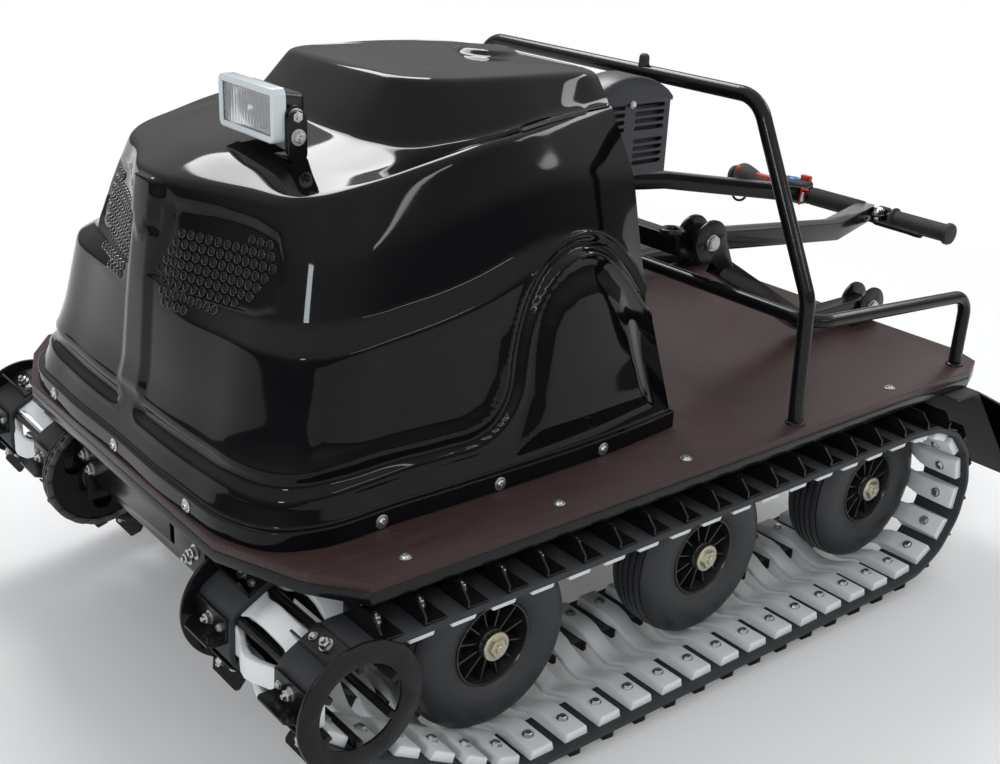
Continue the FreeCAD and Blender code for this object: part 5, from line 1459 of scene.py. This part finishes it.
# %% Bolts of the front plate and the brackets
FRAME_BOLT = bolt_template("frame_bolt", across=12.0, height=6.0, washer=10.0, stud=3.0)
FRONT_PLATE_Y = -696.0
BRACKET_X = 190.0
frame_bolts = bmesh.new()
for side in (1.0, -1.0):
    for x, z in ((155.0, 320.0), (166.0, 292.0), (148.0, 276.0)):
        set_down(frame_bolts, FRAME_BOLT, [
            standing_on((side * x, FRONT_PLATE_Y, z), (0.0, -1.0, 0.0), 0.3)])
    for y, z in ((-660.0, 300.0), (-628.0, 262.0), (-664.0, 218.0)):
        set_down(frame_bolts, FRAME_BOLT, [
            standing_on((side * BRACKET_X, y, z), (side, 0.0, 0.0), 0.2)])
finish_piece(frame_bolts, "frame_bolts", ZINC)

# %% [markdown]
# ## Head lamp
# The lamp is a flat box with a chromed bowl inside, behind a lens of ribbed glass
# in a pale frame. Two flat arms with round ends hold it, so that it can be tilted.
# The box starts as a cube, because its back is the same outline made smaller.

# %% Lamp
lamp_low, lamp_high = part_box("lamp_body")
lens_low, lens_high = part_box("lamp_lens")


def millimetres(corner):
    """A corner in metres as a place on the vehicle, the reverse of `at`."""
    return Vector((corner.x * 1000.0, (corner.y - MIDDLE_AXLE_Y) * 1000.0, corner.z * 1000.0))


body_low, body_high = millimetres(lamp_low), millimetres(lamp_high)
glass_low, glass_high = millimetres(lens_low), millimetres(lens_high)
lamp_mid = (body_low + body_high) / 2.0
lamp_centre = at(*lamp_mid)


def front_face(bm):
    """The largest of the faces nearest the front."""
    return min(bm.faces, key=lambda face: (
        round(face.calc_center_median().y, 5), -face.calc_area()))


def rear_face(bm):
    """The face nearest the rear."""
    return max(bm.faces, key=lambda face: face.calc_center_median().y)


shell = bmesh.new()
bmesh.ops.create_cube(shell, size=1.0, matrix=Matrix.Translation(lamp_centre)
                      @ Matrix.Diagonal((*((body_high - body_low) / 1000.0), 1.0)))
front, rear = front_face(shell), rear_face(shell)
bmesh.ops.scale(shell, vec=(0.86, 1.0, 0.72), verts=rear.verts,
                space=Matrix.Translation(-rear.calc_center_median()))
corners = [edge for edge in shell.edges if edge not in front.edges]
round_edges(shell, corners, 7.0, segments=4, clamp_overlap=True)
front = front_face(shell)
bmesh.ops.inset_region(shell, faces=[front], thickness=0.0035, depth=0.0)
round_edges(shell, front.edges, 0.8)
bmesh.ops.inset_region(shell, faces=[front_face(shell)], thickness=0.001, depth=-0.012)
finish_piece(shell, "lamp_shell", LAMP_SHELL, replaces=["lamp_body"])

BOWL_HALF_WIDTH, BOWL_HALF_HEIGHT, BOWL_DEPTH = 0.062, 0.028, 0.018
reflector = bmesh.new()
bmesh.ops.create_grid(
    reflector, x_segments=28, y_segments=14, size=0.5,
    matrix=Matrix.Translation(at(lamp_mid.x, body_low.y + 2.0, lamp_mid.z))
    @ Matrix.Rotation(math.radians(90.0), 4, "X")
    @ Matrix.Diagonal((2.0 * BOWL_HALF_WIDTH, 2.0 * BOWL_HALF_HEIGHT, 1.0, 1.0)))
for vert in reflector.verts:
    u = (vert.co.x - lamp_centre.x) / BOWL_HALF_WIDTH
    v = (vert.co.z - lamp_centre.z) / BOWL_HALF_HEIGHT
    vert.co.y += BOWL_DEPTH * (1.0 - min(1.0, 0.75 * u * u + 0.5 * v * v))
finish_piece(reflector, "lamp_reflector", MIRROR, sharp=60.0)
bulb = bmesh.new()
add_turned(bulb, [(0.05, 10.0), (3.0, 9.4), (5.0, 7.0), (5.0, -6.0), (8.0, -8.0), (8.0, -12.0)],
           (lamp_mid.x, body_low.y + 9.0, lamp_mid.z), (0.0, -1.0, 0.0), steps=20)
close_up(bulb)
finish_piece(bulb, "lamp_bulb", MIRROR)

# %% Pale frame round the lens
LAMP_FRAME_DEPTH_CUT = 26.0
rim = bmesh.new()
frame_size = body_high - body_low + Vector((1.2, -LAMP_FRAME_DEPTH_CUT, 1.2))
frame_centre = at(lamp_mid.x, glass_low.y - 0.5 + frame_size.y / 2.0, lamp_mid.z)
bmesh.ops.create_cube(rim, size=1.0, matrix=Matrix.Translation(frame_centre)
                      @ Matrix.Diagonal((*(frame_size / 1000.0), 1.0)))
lengthwise = [edge for edge in rim.edges
              if abs(edge.verts[0].co.y - edge.verts[1].co.y) > 0.001]
round_edges(rim, lengthwise, 9.0, segments=5)
round_edges(rim, front_face(rim).edges, 2.2, segments=3)
front, rear = front_face(rim), rear_face(rim)
bmesh.ops.inset_region(rim, faces=[front], thickness=0.0065, depth=-0.0015)
bmesh.ops.delete(rim, geom=[front, rear], context="FACES")
bmesh.ops.recalc_face_normals(rim, faces=rim.faces)
upper_z = at(0.0, 0.0, lamp_mid.z + 28.0).z
if sum(face.normal.z for face in rim.faces if face.calc_center_median().z > upper_z) < 0.0:
    bmesh.ops.reverse_faces(rim, faces=rim.faces)
bmesh.ops.solidify(rim, geom=rim.faces, thickness=0.0012)
finish_piece(rim, "lamp_frame", LAMP_FRAME)

# %% Lens with upright ribs
LENS_RIB_PITCH, LENS_RIB_HEIGHT = 7.2, 0.0004
lens = bmesh.new()
lens_width = (glass_high.x - glass_low.x - 3.0) / 1000.0
lens_height = (glass_high.z - glass_low.z - 3.0) / 1000.0
bmesh.ops.create_grid(
    lens, x_segments=200, y_segments=2, size=0.5,
    matrix=Matrix.Translation(at(lamp_mid.x, glass_low.y + 2.6, lamp_mid.z))
    @ Matrix.Rotation(math.radians(90.0), 4, "X")
    @ Matrix.Diagonal((lens_width, lens_height, 1.0, 1.0)))
if lens.faces[:][0].normal.y > 0.0:
    bmesh.ops.reverse_faces(lens, faces=lens.faces)
for vert in lens.verts:
    across = (vert.co.x - lamp_centre.x) * 1000.0
    inside = abs(across) < 58.0 and abs(vert.co.z - lamp_centre.z) < 0.029
    rib = 0.5 + 0.5 * math.cos(2.0 * math.pi * across / LENS_RIB_PITCH)
    vert.co.y -= LENS_RIB_HEIGHT * rib if inside else 0.0
bmesh.ops.solidify(lens, geom=lens.faces, thickness=0.0022)
bmesh.ops.recalc_face_normals(lens, faces=lens.faces)
finish_piece(lens, "lamp_lens_dressed", LAMP_GLASS, replaces=["lamp_lens"],
             sharp=60.0)

# %% Lamp arms
arms, pivots = bmesh.new(), bmesh.new()
bracket_low, bracket_high = (millimetres(corner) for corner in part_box("lamp_bracket"))
middle_y = (bracket_low.y + bracket_high.y) / 2.0
foot_z, pivot_z = bracket_low.z + 10.0, lamp_mid.z
# each arm: how far it lies from the bracket's edge, then its two rounded ends
for inset, low_end, high_end in ((2.0, 2.0, pivot_z - foot_z), (7.5, -4.0, 34.0)):
    cut_plate(arms, [stadium((0.0, low_end), (0.0, high_end), 13.0, 12)], 4.0, 0.8,
              across_vehicle(bracket_low.x + inset, middle_y, foot_z))
for inset, z in ((4.0, pivot_z), (9.5, foot_z + 16.0)):
    set_down(pivots, FRAME_BOLT, [
        standing_on((bracket_low.x + inset, middle_y, z), (1.0, 0.0, 0.0))])
add_block(arms, (bracket_low.x - 26.0, middle_y - 12.0, bracket_low.z - 2.0),
          (bracket_low.x + 4.0, middle_y + 12.0, bracket_low.z + 2.0), 1.0)
finish_piece(arms, "lamp_arms", BLACK_PAINT, replaces=["lamp_bracket"])
finish_piece(pivots, "lamp_bolts", ZINC)

# %% [markdown]
# ## Muffler guard
# A pressed guard keeps hands off the hot silencer. Its louvred face looks to the
# side. The face is cut as a flat curve with round-ended holes, which keeps every
# slot's rim clean. The walls are the same outline pulled inwards, and the cap is a
# thick arched plate with soft edges.

# %% Guard
GUARD_FACE_X = 150.0
GUARD_LOW, GUARD_HIGH = (-72.0, 675.0), (88.0, 785.0)
GUARD_CAP = 33.0
GUARD_WALL_DEPTH = 0.048
SLOT_RADIUS = 2.9
SLOT_ENDS = ((-61.0, -2.0), (18.0, 77.0))
SLOT_ROWS = (16.0, 26.5, 37.0, 47.5, 66.0, 76.5, 87.0, 97.5)


def guard_outline(steps=16):
    """The face's outline, arched along its top, from its lower front corner."""
    points = [GUARD_LOW, (GUARD_HIGH[0], GUARD_LOW[1]), GUARD_HIGH]
    span = GUARD_HIGH[0] - GUARD_LOW[0]
    for step in range(1, steps):
        share = step / steps
        rise = GUARD_CAP * math.sin(math.pi * share) ** 0.75
        points.append((GUARD_HIGH[0] - span * share, GUARD_HIGH[1] + rise))
    return points + [(GUARD_LOW[0], GUARD_HIGH[1])]


guard = bmesh.new()
slots = [stadium((low + 3.0, GUARD_LOW[1] + row + 2.8), (high - 3.0, GUARD_LOW[1] + row + 2.8),
                 SLOT_RADIUS, 6)
         for low, high in SLOT_ENDS for row in SLOT_ROWS]
cut_plate(guard, [guard_outline()] + slots, 3.0, 0.6,
          across_vehicle(GUARD_FACE_X - 1.5, 0.0, 0.0))
wall = bmesh.new()
ring = [wall.verts.new(at(GUARD_FACE_X - 2.0, y, z)) for y, z in guard_outline()]
edges = [wall.edges.new(pair) for pair in zip(ring, ring[1:] + ring[:1])]
pulled = bmesh.ops.extrude_edge_only(wall, edges=edges)
bmesh.ops.translate(wall, verts=points_of(pulled), vec=(-GUARD_WALL_DEPTH, 0.0, 0.0))
face_away(wall, at(GUARD_FACE_X - 25.0, 8.0, 740.0))
bmesh.ops.solidify(wall, geom=wall.faces, thickness=0.003)
set_down(guard, as_template(wall, "guard_wall"), [Matrix()])
# the cap laps over the face and the walls by a little
arch = guard_outline()[2:]
middle = (GUARD_HIGH[0] + GUARD_LOW[0]) / 2.0
lid = [(middle + (y - middle) * 1.035, z + 1.0) for y, z in arch]
lid = [(lid[0][0], GUARD_HIGH[1] - 5.0)] + lid + [(lid[-1][0], GUARD_HIGH[1] - 5.0)]
cut_plate(guard, [lid], 56.0, 2.5, across_vehicle(GUARD_FACE_X - 25.0, 0.0, 0.0))
finish_piece(guard, "guard_dressed", GUARD_METAL, replaces=["muffler_guard"],
             sharp=40.0)

# %% Exhaust pipe end and screws of the guard
pipe = bmesh.new()
add_turned(pipe, [(11.0, -60.0), (11.0, 18.0), (10.2, 18.8), (9.4, 18.0), (9.4, -20.0)],
           (118.0, -40.0, 663.0), (0.35, 1.0, -0.1), steps=28)
close_up(pipe)
finish_piece(pipe, "exhaust_tail", ENGINE_METAL)
screws = bmesh.new()
for above_face, z in ((3.0, 780.0), (0.0, 683.0)):
    set_down(screws, RIVET, [standing_on((GUARD_FACE_X + above_face, 8.0, z), (1.0, 0.0, 0.0))])
finish_piece(screws, "guard_screws", ZINC)

# %% [markdown]
# ## Hoop
# A rubber plug stands on the hoop's top. A bead of weld runs round each foot of
# the hoop and of the rail. The tubes themselves are round and evenly bent already,
# so the CAD tubes stay, and only the turned plug and beads are added.

# %% Plug and weld beads
plug = bmesh.new()
add_turned(plug, [(0.05, 15.6), (4.0, 15.4), (6.6, 13.6), (7.8, 10.0), (8.0, 2.0), (8.6, 0.5),
                  (8.6, -3.0)],
           (70.0, 108.0, 818.0), (0.0, 0.0, 1.0), steps=28)
close_up(plug)
finish_piece(plug, "hoop_plug", GRIP_RUBBER, replaces=["hoop_clip"])
beads = bmesh.new()
for side in (1.0, -1.0):
    for x, y, radius in ((432.0, 108.0, 11.0), (424.0, 518.0, 10.0)):
        add_turned(beads, [(radius - 1.0, 4.2), (radius + 1.8, 3.2), (radius + 3.4, 1.4),
                           (radius + 3.8, -0.5)],
                   (side * x, y, DECK_TOP), (0.0, 0.0, 1.0), steps=28)
close_up(beads)
finish_piece(beads, "weld_beads", BLACK_PAINT)

# %% [markdown]
# ## Handlebar
# The driver steers and works the engine from the handlebar: a ribbed grip at each
# end, a padded sleeve between the arms, a brake lever, a switch box with a blue
# button and a red lanyard clip, and a throttle housing on the far side. They all
# ride on the upper frame, which folds over the deck.

# %% Grips and sleeve
BAR_Y, BAR_Z = 724.0, 512.0
GRIP_RIBS, GRIP_RIB_PITCH = 20, 5.2
SLEEVE_RIBS, SLEEVE_RIB_PITCH = 44, 2.6
bar_axis = (1.0, 0.0, 0.0)
rubber = bmesh.new()
for side in (1.0, -1.0):
    profile = [(11.2, 132.0), (19.0, 132.5), (20.0, 134.0), (20.0, 136.5), (18.4, 138.2)]
    for rib in range(GRIP_RIBS):
        start = 139.0 + rib * GRIP_RIB_PITCH
        profile += [(15.2, start), (15.9, start + 0.8), (15.9, start + 3.4), (15.2, start + 4.2)]
    profile += [(15.4, 243.5), (19.2, 246.0), (19.6, 250.0), (18.0, 254.0), (9.0, 255.8),
                (0.05, 255.8)]
    add_turned(rubber, [(r, side * d) for r, d in profile], (0.0, BAR_Y, BAR_Z), bar_axis, steps=40)
close_up(rubber)
finish_piece(rubber, "grips_dressed", GRIP_RUBBER, "upper_frame", ["grips"])
sleeve = bmesh.new()
profile = [(11.2, -52.0), (16.0, -51.0)]
for rib in range(SLEEVE_RIBS):
    start = -50.0 + rib * SLEEVE_RIB_PITCH
    profile += [(16.2, start), (17.0, start + 0.7), (17.0, start + 1.5), (16.2, start + 2.2)]
profile += [(16.0, 65.0), (11.2, 66.0)]
add_turned(sleeve, profile, (0.0, BAR_Y, BAR_Z), bar_axis, steps=36)
close_up(sleeve)
finish_piece(sleeve, "bar_sleeve", GRIP_RUBBER, "upper_frame")

# %% Brake lever
lever, chrome = bmesh.new(), bmesh.new()
add_turned(lever, [(11.2, -9.0), (16.0, -9.0), (17.0, -8.0), (17.0, 8.0), (16.0, 9.0), (11.2, 9.0)],
           (111.0, BAR_Y, BAR_Z), bar_axis, steps=36)
add_block(lever, (102.0, 690.0, 503.0), (124.0, 714.0, 519.0), 3.0, 3)
blade = [
    (104.0, 700.0), (112.0, 686.0), (128.0, 678.0), (158.0, 677.0), (196.0, 676.0),
    (212.0, 673.0), (221.0, 673.0), (226.0, 678.0), (224.0, 685.0), (216.0, 687.0),
    (196.0, 686.0), (160.0, 687.0), (134.0, 690.0), (124.0, 700.0), (118.0, 708.0)]
blade_hole = circle(3.0, 219.0, 680.0 - BAR_Y, 14)
cut_plate(lever, [[(x, y - BAR_Y) for x, y in blade], blade_hole], 7.0, 2.0,
          Matrix.Translation(at(0.0, BAR_Y, 508.0)))
finish_piece(lever, "brake_lever_dressed", BLACK_PAINT, "upper_frame",
             ["brake_lever"])
for place, direction in (
        ((111.0, 699.0, 519.0), (0.0, 0.0, 1.0)),
        ((111.0, BAR_Y - 12.0, BAR_Z + 12.0), (0.0, -0.7, 0.7)),
        ((104.0, 690.0, 511.0), (0.0, -1.0, 0.0)),
        ((120.0, 690.0, 511.0), (0.0, -1.0, 0.0))):
    set_down(chrome, RIVET, [standing_on(place, direction)])
finish_piece(chrome, "lever_screws", ZINC, "upper_frame")

# %% Switch box
box_shell = bmesh.new()
add_block(box_shell, (-130.0, 705.5, 493.0), (-64.0, 742.5, 536.0), 7.0, 4)
add_turned(box_shell, [(11.2, -3.0), (16.0, -3.0), (17.0, -1.0), (17.0, 6.0), (11.2, 6.0)],
           (-64.0, BAR_Y, BAR_Z), bar_axis, steps=32)
finish_piece(box_shell, "switch_box_dressed", GRIP_RUBBER, "upper_frame",
             ["switch_box"])
button = bmesh.new()
bmesh.ops.create_uvsphere(button, u_segments=28, v_segments=14, radius=1.0)
bmesh.ops.transform(button, verts=button.verts, matrix=Matrix.Translation(at(-98.0, 722.0, 536.0))
                    @ Matrix.Diagonal((0.014, 0.010, 0.0045, 1.0)))
finish_piece(button, "start_button", BLUE_PLASTIC, "upper_frame")
red = bmesh.new()
add_block(red, (-92.0, 731.0, 534.0), (-70.0, 741.0, 545.0), 1.8)
add_block(red, (-190.0, 714.0, 521.0), (-142.0, 724.0, 530.0), 2.5, 3)
add_bar(red, (-229.0, 712.0, 531.0), (-229.0, 707.0, 534.0), 5.0, round_ends=1.2)
# the lanyard clip is a triangle of round wire
corners = ((-61.0, 700.0, 527.0), (-57.0, 716.0, 522.0), (-66.0, 704.0, 496.0))
for first, last in zip(corners, corners[1:] + corners[:1]):
    add_bar(red, first, last, 2.2, 12)
    bmesh.ops.create_uvsphere(red, u_segments=12, v_segments=8, radius=0.0022,
                              matrix=Matrix.Translation(at(*first)))
finish_piece(red, "red_controls", RED_PLASTIC, "upper_frame")
strip = bmesh.new()
add_block(strip, (-62.5, 701.0, 502.0), (-60.5, 709.0, 520.0), 0.6)
finish_piece(strip, "lanyard_strip", SADDLE_PLASTIC, "upper_frame")

# %% Throttle housing and its hook
THROTTLE_X = -222.0
throttle = bmesh.new()
bmesh.ops.create_uvsphere(throttle, u_segments=28, v_segments=18, radius=1.0,
                          matrix=Matrix.Translation(at(THROTTLE_X, BAR_Y - 2.0, 519.0))
                          @ Matrix.Diagonal((0.026, 0.020, 0.022, 1.0)))
for vert in throttle.verts:
    lean = eased((vert.co.x - at(THROTTLE_X, 0.0, 0.0).x + 0.005) / 0.03)
    vert.co.z -= 0.010 * lean
    vert.co.x += 0.024 * lean
finish_piece(throttle, "throttle_housing", GRIP_RUBBER, "upper_frame")
hook = bmesh.new()
wire_angles = [k * math.pi / 5.0 for k in range(11)]
add_turned(hook, [(13.0 + 2.6 * math.cos(angle), 2.6 * math.sin(angle)) for angle in wire_angles],
           (-226.0, 716.0, 478.0), (0.5, -0.8, 0.0), steps=28)
add_bar(hook, (-226.0, 716.0, 490.0), (-226.0, 720.0, 502.0), 3.0, 12)
close_up(hook)
finish_piece(hook, "cable_hook", BLACK_PAINT, "upper_frame")
print("handlebar dressed")

# %% [markdown]
# ## Joint hardware
# Each pin of the folding frame ends in a hexagon head on its outer side, so the CAD
# pins stay as shanks and bright heads stand on them. A head rides on the body that
# carries its pin: the knee's on the lower frame, the rear hinge's on the chassis.

# %% Heads on the pins
# how far out the heads stand, then each axis along and up the vehicle
PIN_HEAD_X, ARM_BOLT_X = 217.5, 211.0
KNEE_PIN, REAR_PIN, ARM_BOLT = (135.0, 575.0), (574.0, 394.0), (400.0, 400.0)
knee, hinge = bmesh.new(), bmesh.new()
BIG_HEAD = bolt_template("big_head", across=17.0, height=6.5, washer=12.5)
for side in (1.0, -1.0):
    for heads, head, x, axis in (
            (knee, BIG_HEAD, PIN_HEAD_X, KNEE_PIN), (hinge, BIG_HEAD, PIN_HEAD_X, REAR_PIN),
            (knee, FRAME_BOLT, ARM_BOLT_X, ARM_BOLT)):
        set_down(heads, head, [standing_on((side * x, *axis), (side, 0.0, 0.0), 0.2)])
finish_piece(knee, "knee_bolt_heads", ZINC, "lower_frame")
finish_piece(hinge, "hinge_bolt_heads", ZINC, "root")

# %% [markdown]
# ## Floor, light and camera
# A pale floor and a white surround leave the object by itself, and large soft
# lamps give the gloss its long highlights.

# %% Floor
FLOOR_GLOW = 0.10


def make_floor():
    """A pale floor that fades to plain white some way off, and keeps the shadow."""
    material = bpy.data.materials.new("floor")
    material.use_nodes = True
    tree = material.node_tree
    shader = tree.nodes["Principled BSDF"]
    shader.inputs["Base Color"].default_value = (0.86, 0.86, 0.86, 1.0)
    shader.inputs["Roughness"].default_value = 0.9
    shader.inputs["Specular IOR Level"].default_value = 0.1
    shader.inputs["Emission Color"].default_value = (1.0, 1.0, 1.0, 1.0)
    place = node(tree, "ShaderNodeTexCoord")
    reach = node(tree, "ShaderNodeVectorMath", operation="LENGTH")
    far = node(tree, "ShaderNodeMapRange", From_Min=1.0, From_Max=2.6)
    white = node(tree, "ShaderNodeEmission", Strength=1.0)
    mix = node(tree, "ShaderNodeMixShader")
    seen = tree.nodes.new("ShaderNodeLightPath")
    rays = math_node(tree, "MAXIMUM", seen.outputs["Is Camera Ray"],
                     seen.outputs["Is Transmission Ray"])
    rays = math_node(tree, "MAXIMUM", rays, seen.outputs["Is Glossy Ray"])
    tree.links.new(place.outputs["Object"], reach.inputs[0])
    tree.links.new(reach.outputs["Value"], far.inputs["Value"])
    tree.links.new(math_node(tree, "MULTIPLY", rays, FLOOR_GLOW),
                   shader.inputs["Emission Strength"])
    tree.links.new(math_node(tree, "MULTIPLY", rays, far.outputs["Result"]), mix.inputs["Fac"])
    tree.links.new(shader.outputs["BSDF"], mix.inputs[1])
    tree.links.new(white.outputs["Emission"], mix.inputs[2])
    tree.links.new(mix.outputs["Shader"], tree.nodes["Material Output"].inputs["Surface"])
    bm = bmesh.new()
    bmesh.ops.create_grid(bm, x_segments=4, y_segments=4, size=30.0)
    mesh = bpy.data.meshes.new("floor")
    bm.to_mesh(mesh)
    bm.free()
    mesh.materials.append(material)
    floor = bpy.data.objects.new("floor", mesh)
    floor.location.z = -0.0005
    bpy.context.scene.collection.objects.link(floor)


make_floor()


# %% Light
def add_lamp(name, place, towards, size, power, colour=(1.0, 1.0, 1.0)):
    """A soft rectangular lamp."""
    data = bpy.data.lights.new(name, "AREA")
    data.shape = "RECTANGLE"
    data.size, data.size_y = size
    data.energy = power
    data.color = colour
    lamp = bpy.data.objects.new(name, data)
    lamp.location = place
    lamp.rotation_euler = (Vector(towards) - Vector(place)).to_track_quat("-Z", "Y").to_euler()
    bpy.context.scene.collection.objects.link(lamp)


add_lamp("overhead", (-1.9, 0.5, 2.9), (0.0, -0.3, 0.5), (1.7, 1.1), 60.0)
add_lamp("front", (2.0, -2.9, 1.9), (0.0, -0.2, 0.4), (0.5, 0.5), 20.0, (0.88, 0.94, 1.0))
add_lamp("side", (3.2, 0.9, 2.1), (0.0, 0.0, 0.4), (1.8, 0.14), 9.0)
add_lamp("back", (0.6, 3.2, 2.4), (0.0, 0.0, 0.5), (2.6, 0.3), 16.0)


# %% Surround
SOFT_LIGHT = 0.58


def make_world():
    """A white surround, seen whole by the camera and in part by the gloss."""
    world = bpy.data.worlds.new("studio")
    world.use_nodes = True
    bpy.context.scene.world = world
    tree = world.node_tree
    tree.nodes.clear()
    seen = tree.nodes.new("ShaderNodeLightPath")
    white = tree.nodes.new("ShaderNodeBackground")
    soft = tree.nodes.new("ShaderNodeBackground")
    mix = tree.nodes.new("ShaderNodeMixShader")
    out = tree.nodes.new("ShaderNodeOutputWorld")
    place = node(tree, "ShaderNodeTexCoord")
    split = node(tree, "ShaderNodeSeparateXYZ")
    height = node(tree, "ShaderNodeMapRange", From_Min=0.05, From_Max=0.6, To_Min=0.15, To_Max=0.9)
    white.inputs["Color"].default_value = (1.0, 1.0, 1.0, 1.0)
    white.inputs["Strength"].default_value = 1.0
    soft.inputs["Color"].default_value = (0.96, 0.98, 1.0, 1.0)
    tree.links.new(place.outputs["Generated"], split.inputs["Vector"])
    tree.links.new(split.outputs["Z"], height.inputs["Value"])
    gloss = math_node(tree, "MULTIPLY", seen.outputs["Is Glossy Ray"], height.outputs["Result"])
    rays = math_node(tree, "MAXIMUM", seen.outputs["Is Camera Ray"],
                     seen.outputs["Is Transmission Ray"])
    whole = math_node(tree, "ADD", rays, gloss, True)
    dim = math_node(tree, "MULTIPLY", seen.outputs["Is Glossy Ray"], 0.95)
    less = math_node(tree, "MULTIPLY", dim, 0.55)
    tree.links.new(math_node(tree, "SUBTRACT", SOFT_LIGHT, less), soft.inputs["Strength"])
    tree.links.new(whole, mix.inputs["Fac"])
    tree.links.new(soft.outputs["Background"], mix.inputs[1])
    tree.links.new(white.outputs["Background"], mix.inputs[2])
    tree.links.new(mix.outputs["Shader"], out.inputs["Surface"])


make_world()
bpy.context.scene.view_settings.view_transform = "Standard"


# %% [markdown]
# The camera stands at the front left, a little over a metre above the ground, and
# leans a little to one side.

# %% Camera
def make_camera():
    """A camera at the front left, built from its turn, rise and lean."""
    turn, rise, roll = math.radians(49.96), math.radians(22.36), math.radians(2.84)
    back = Vector((math.sin(turn) * math.cos(rise), -math.cos(turn) * math.cos(rise),
                   math.sin(rise)))
    right = Vector((math.cos(turn), math.sin(turn), 0.0))
    up = back.cross(right)
    level = right * math.cos(roll) + up * math.sin(roll)
    upright = up * math.cos(roll) - right * math.sin(roll)
    data = bpy.data.cameras.new("camera")
    data.sensor_width = 36.0
    data.lens = 46.99
    data.dof.use_dof = False
    camera = bpy.data.objects.new("camera", data)
    matrix = Matrix((level, upright, back)).transposed().to_4x4()
    matrix.translation = (1.468, -1.314, 1.111)
    camera.matrix_world = matrix
    bpy.context.scene.collection.objects.link(camera)
    bpy.context.scene.camera = camera


make_camera()

# %% Finish
print(len(PIECES), "pieces")
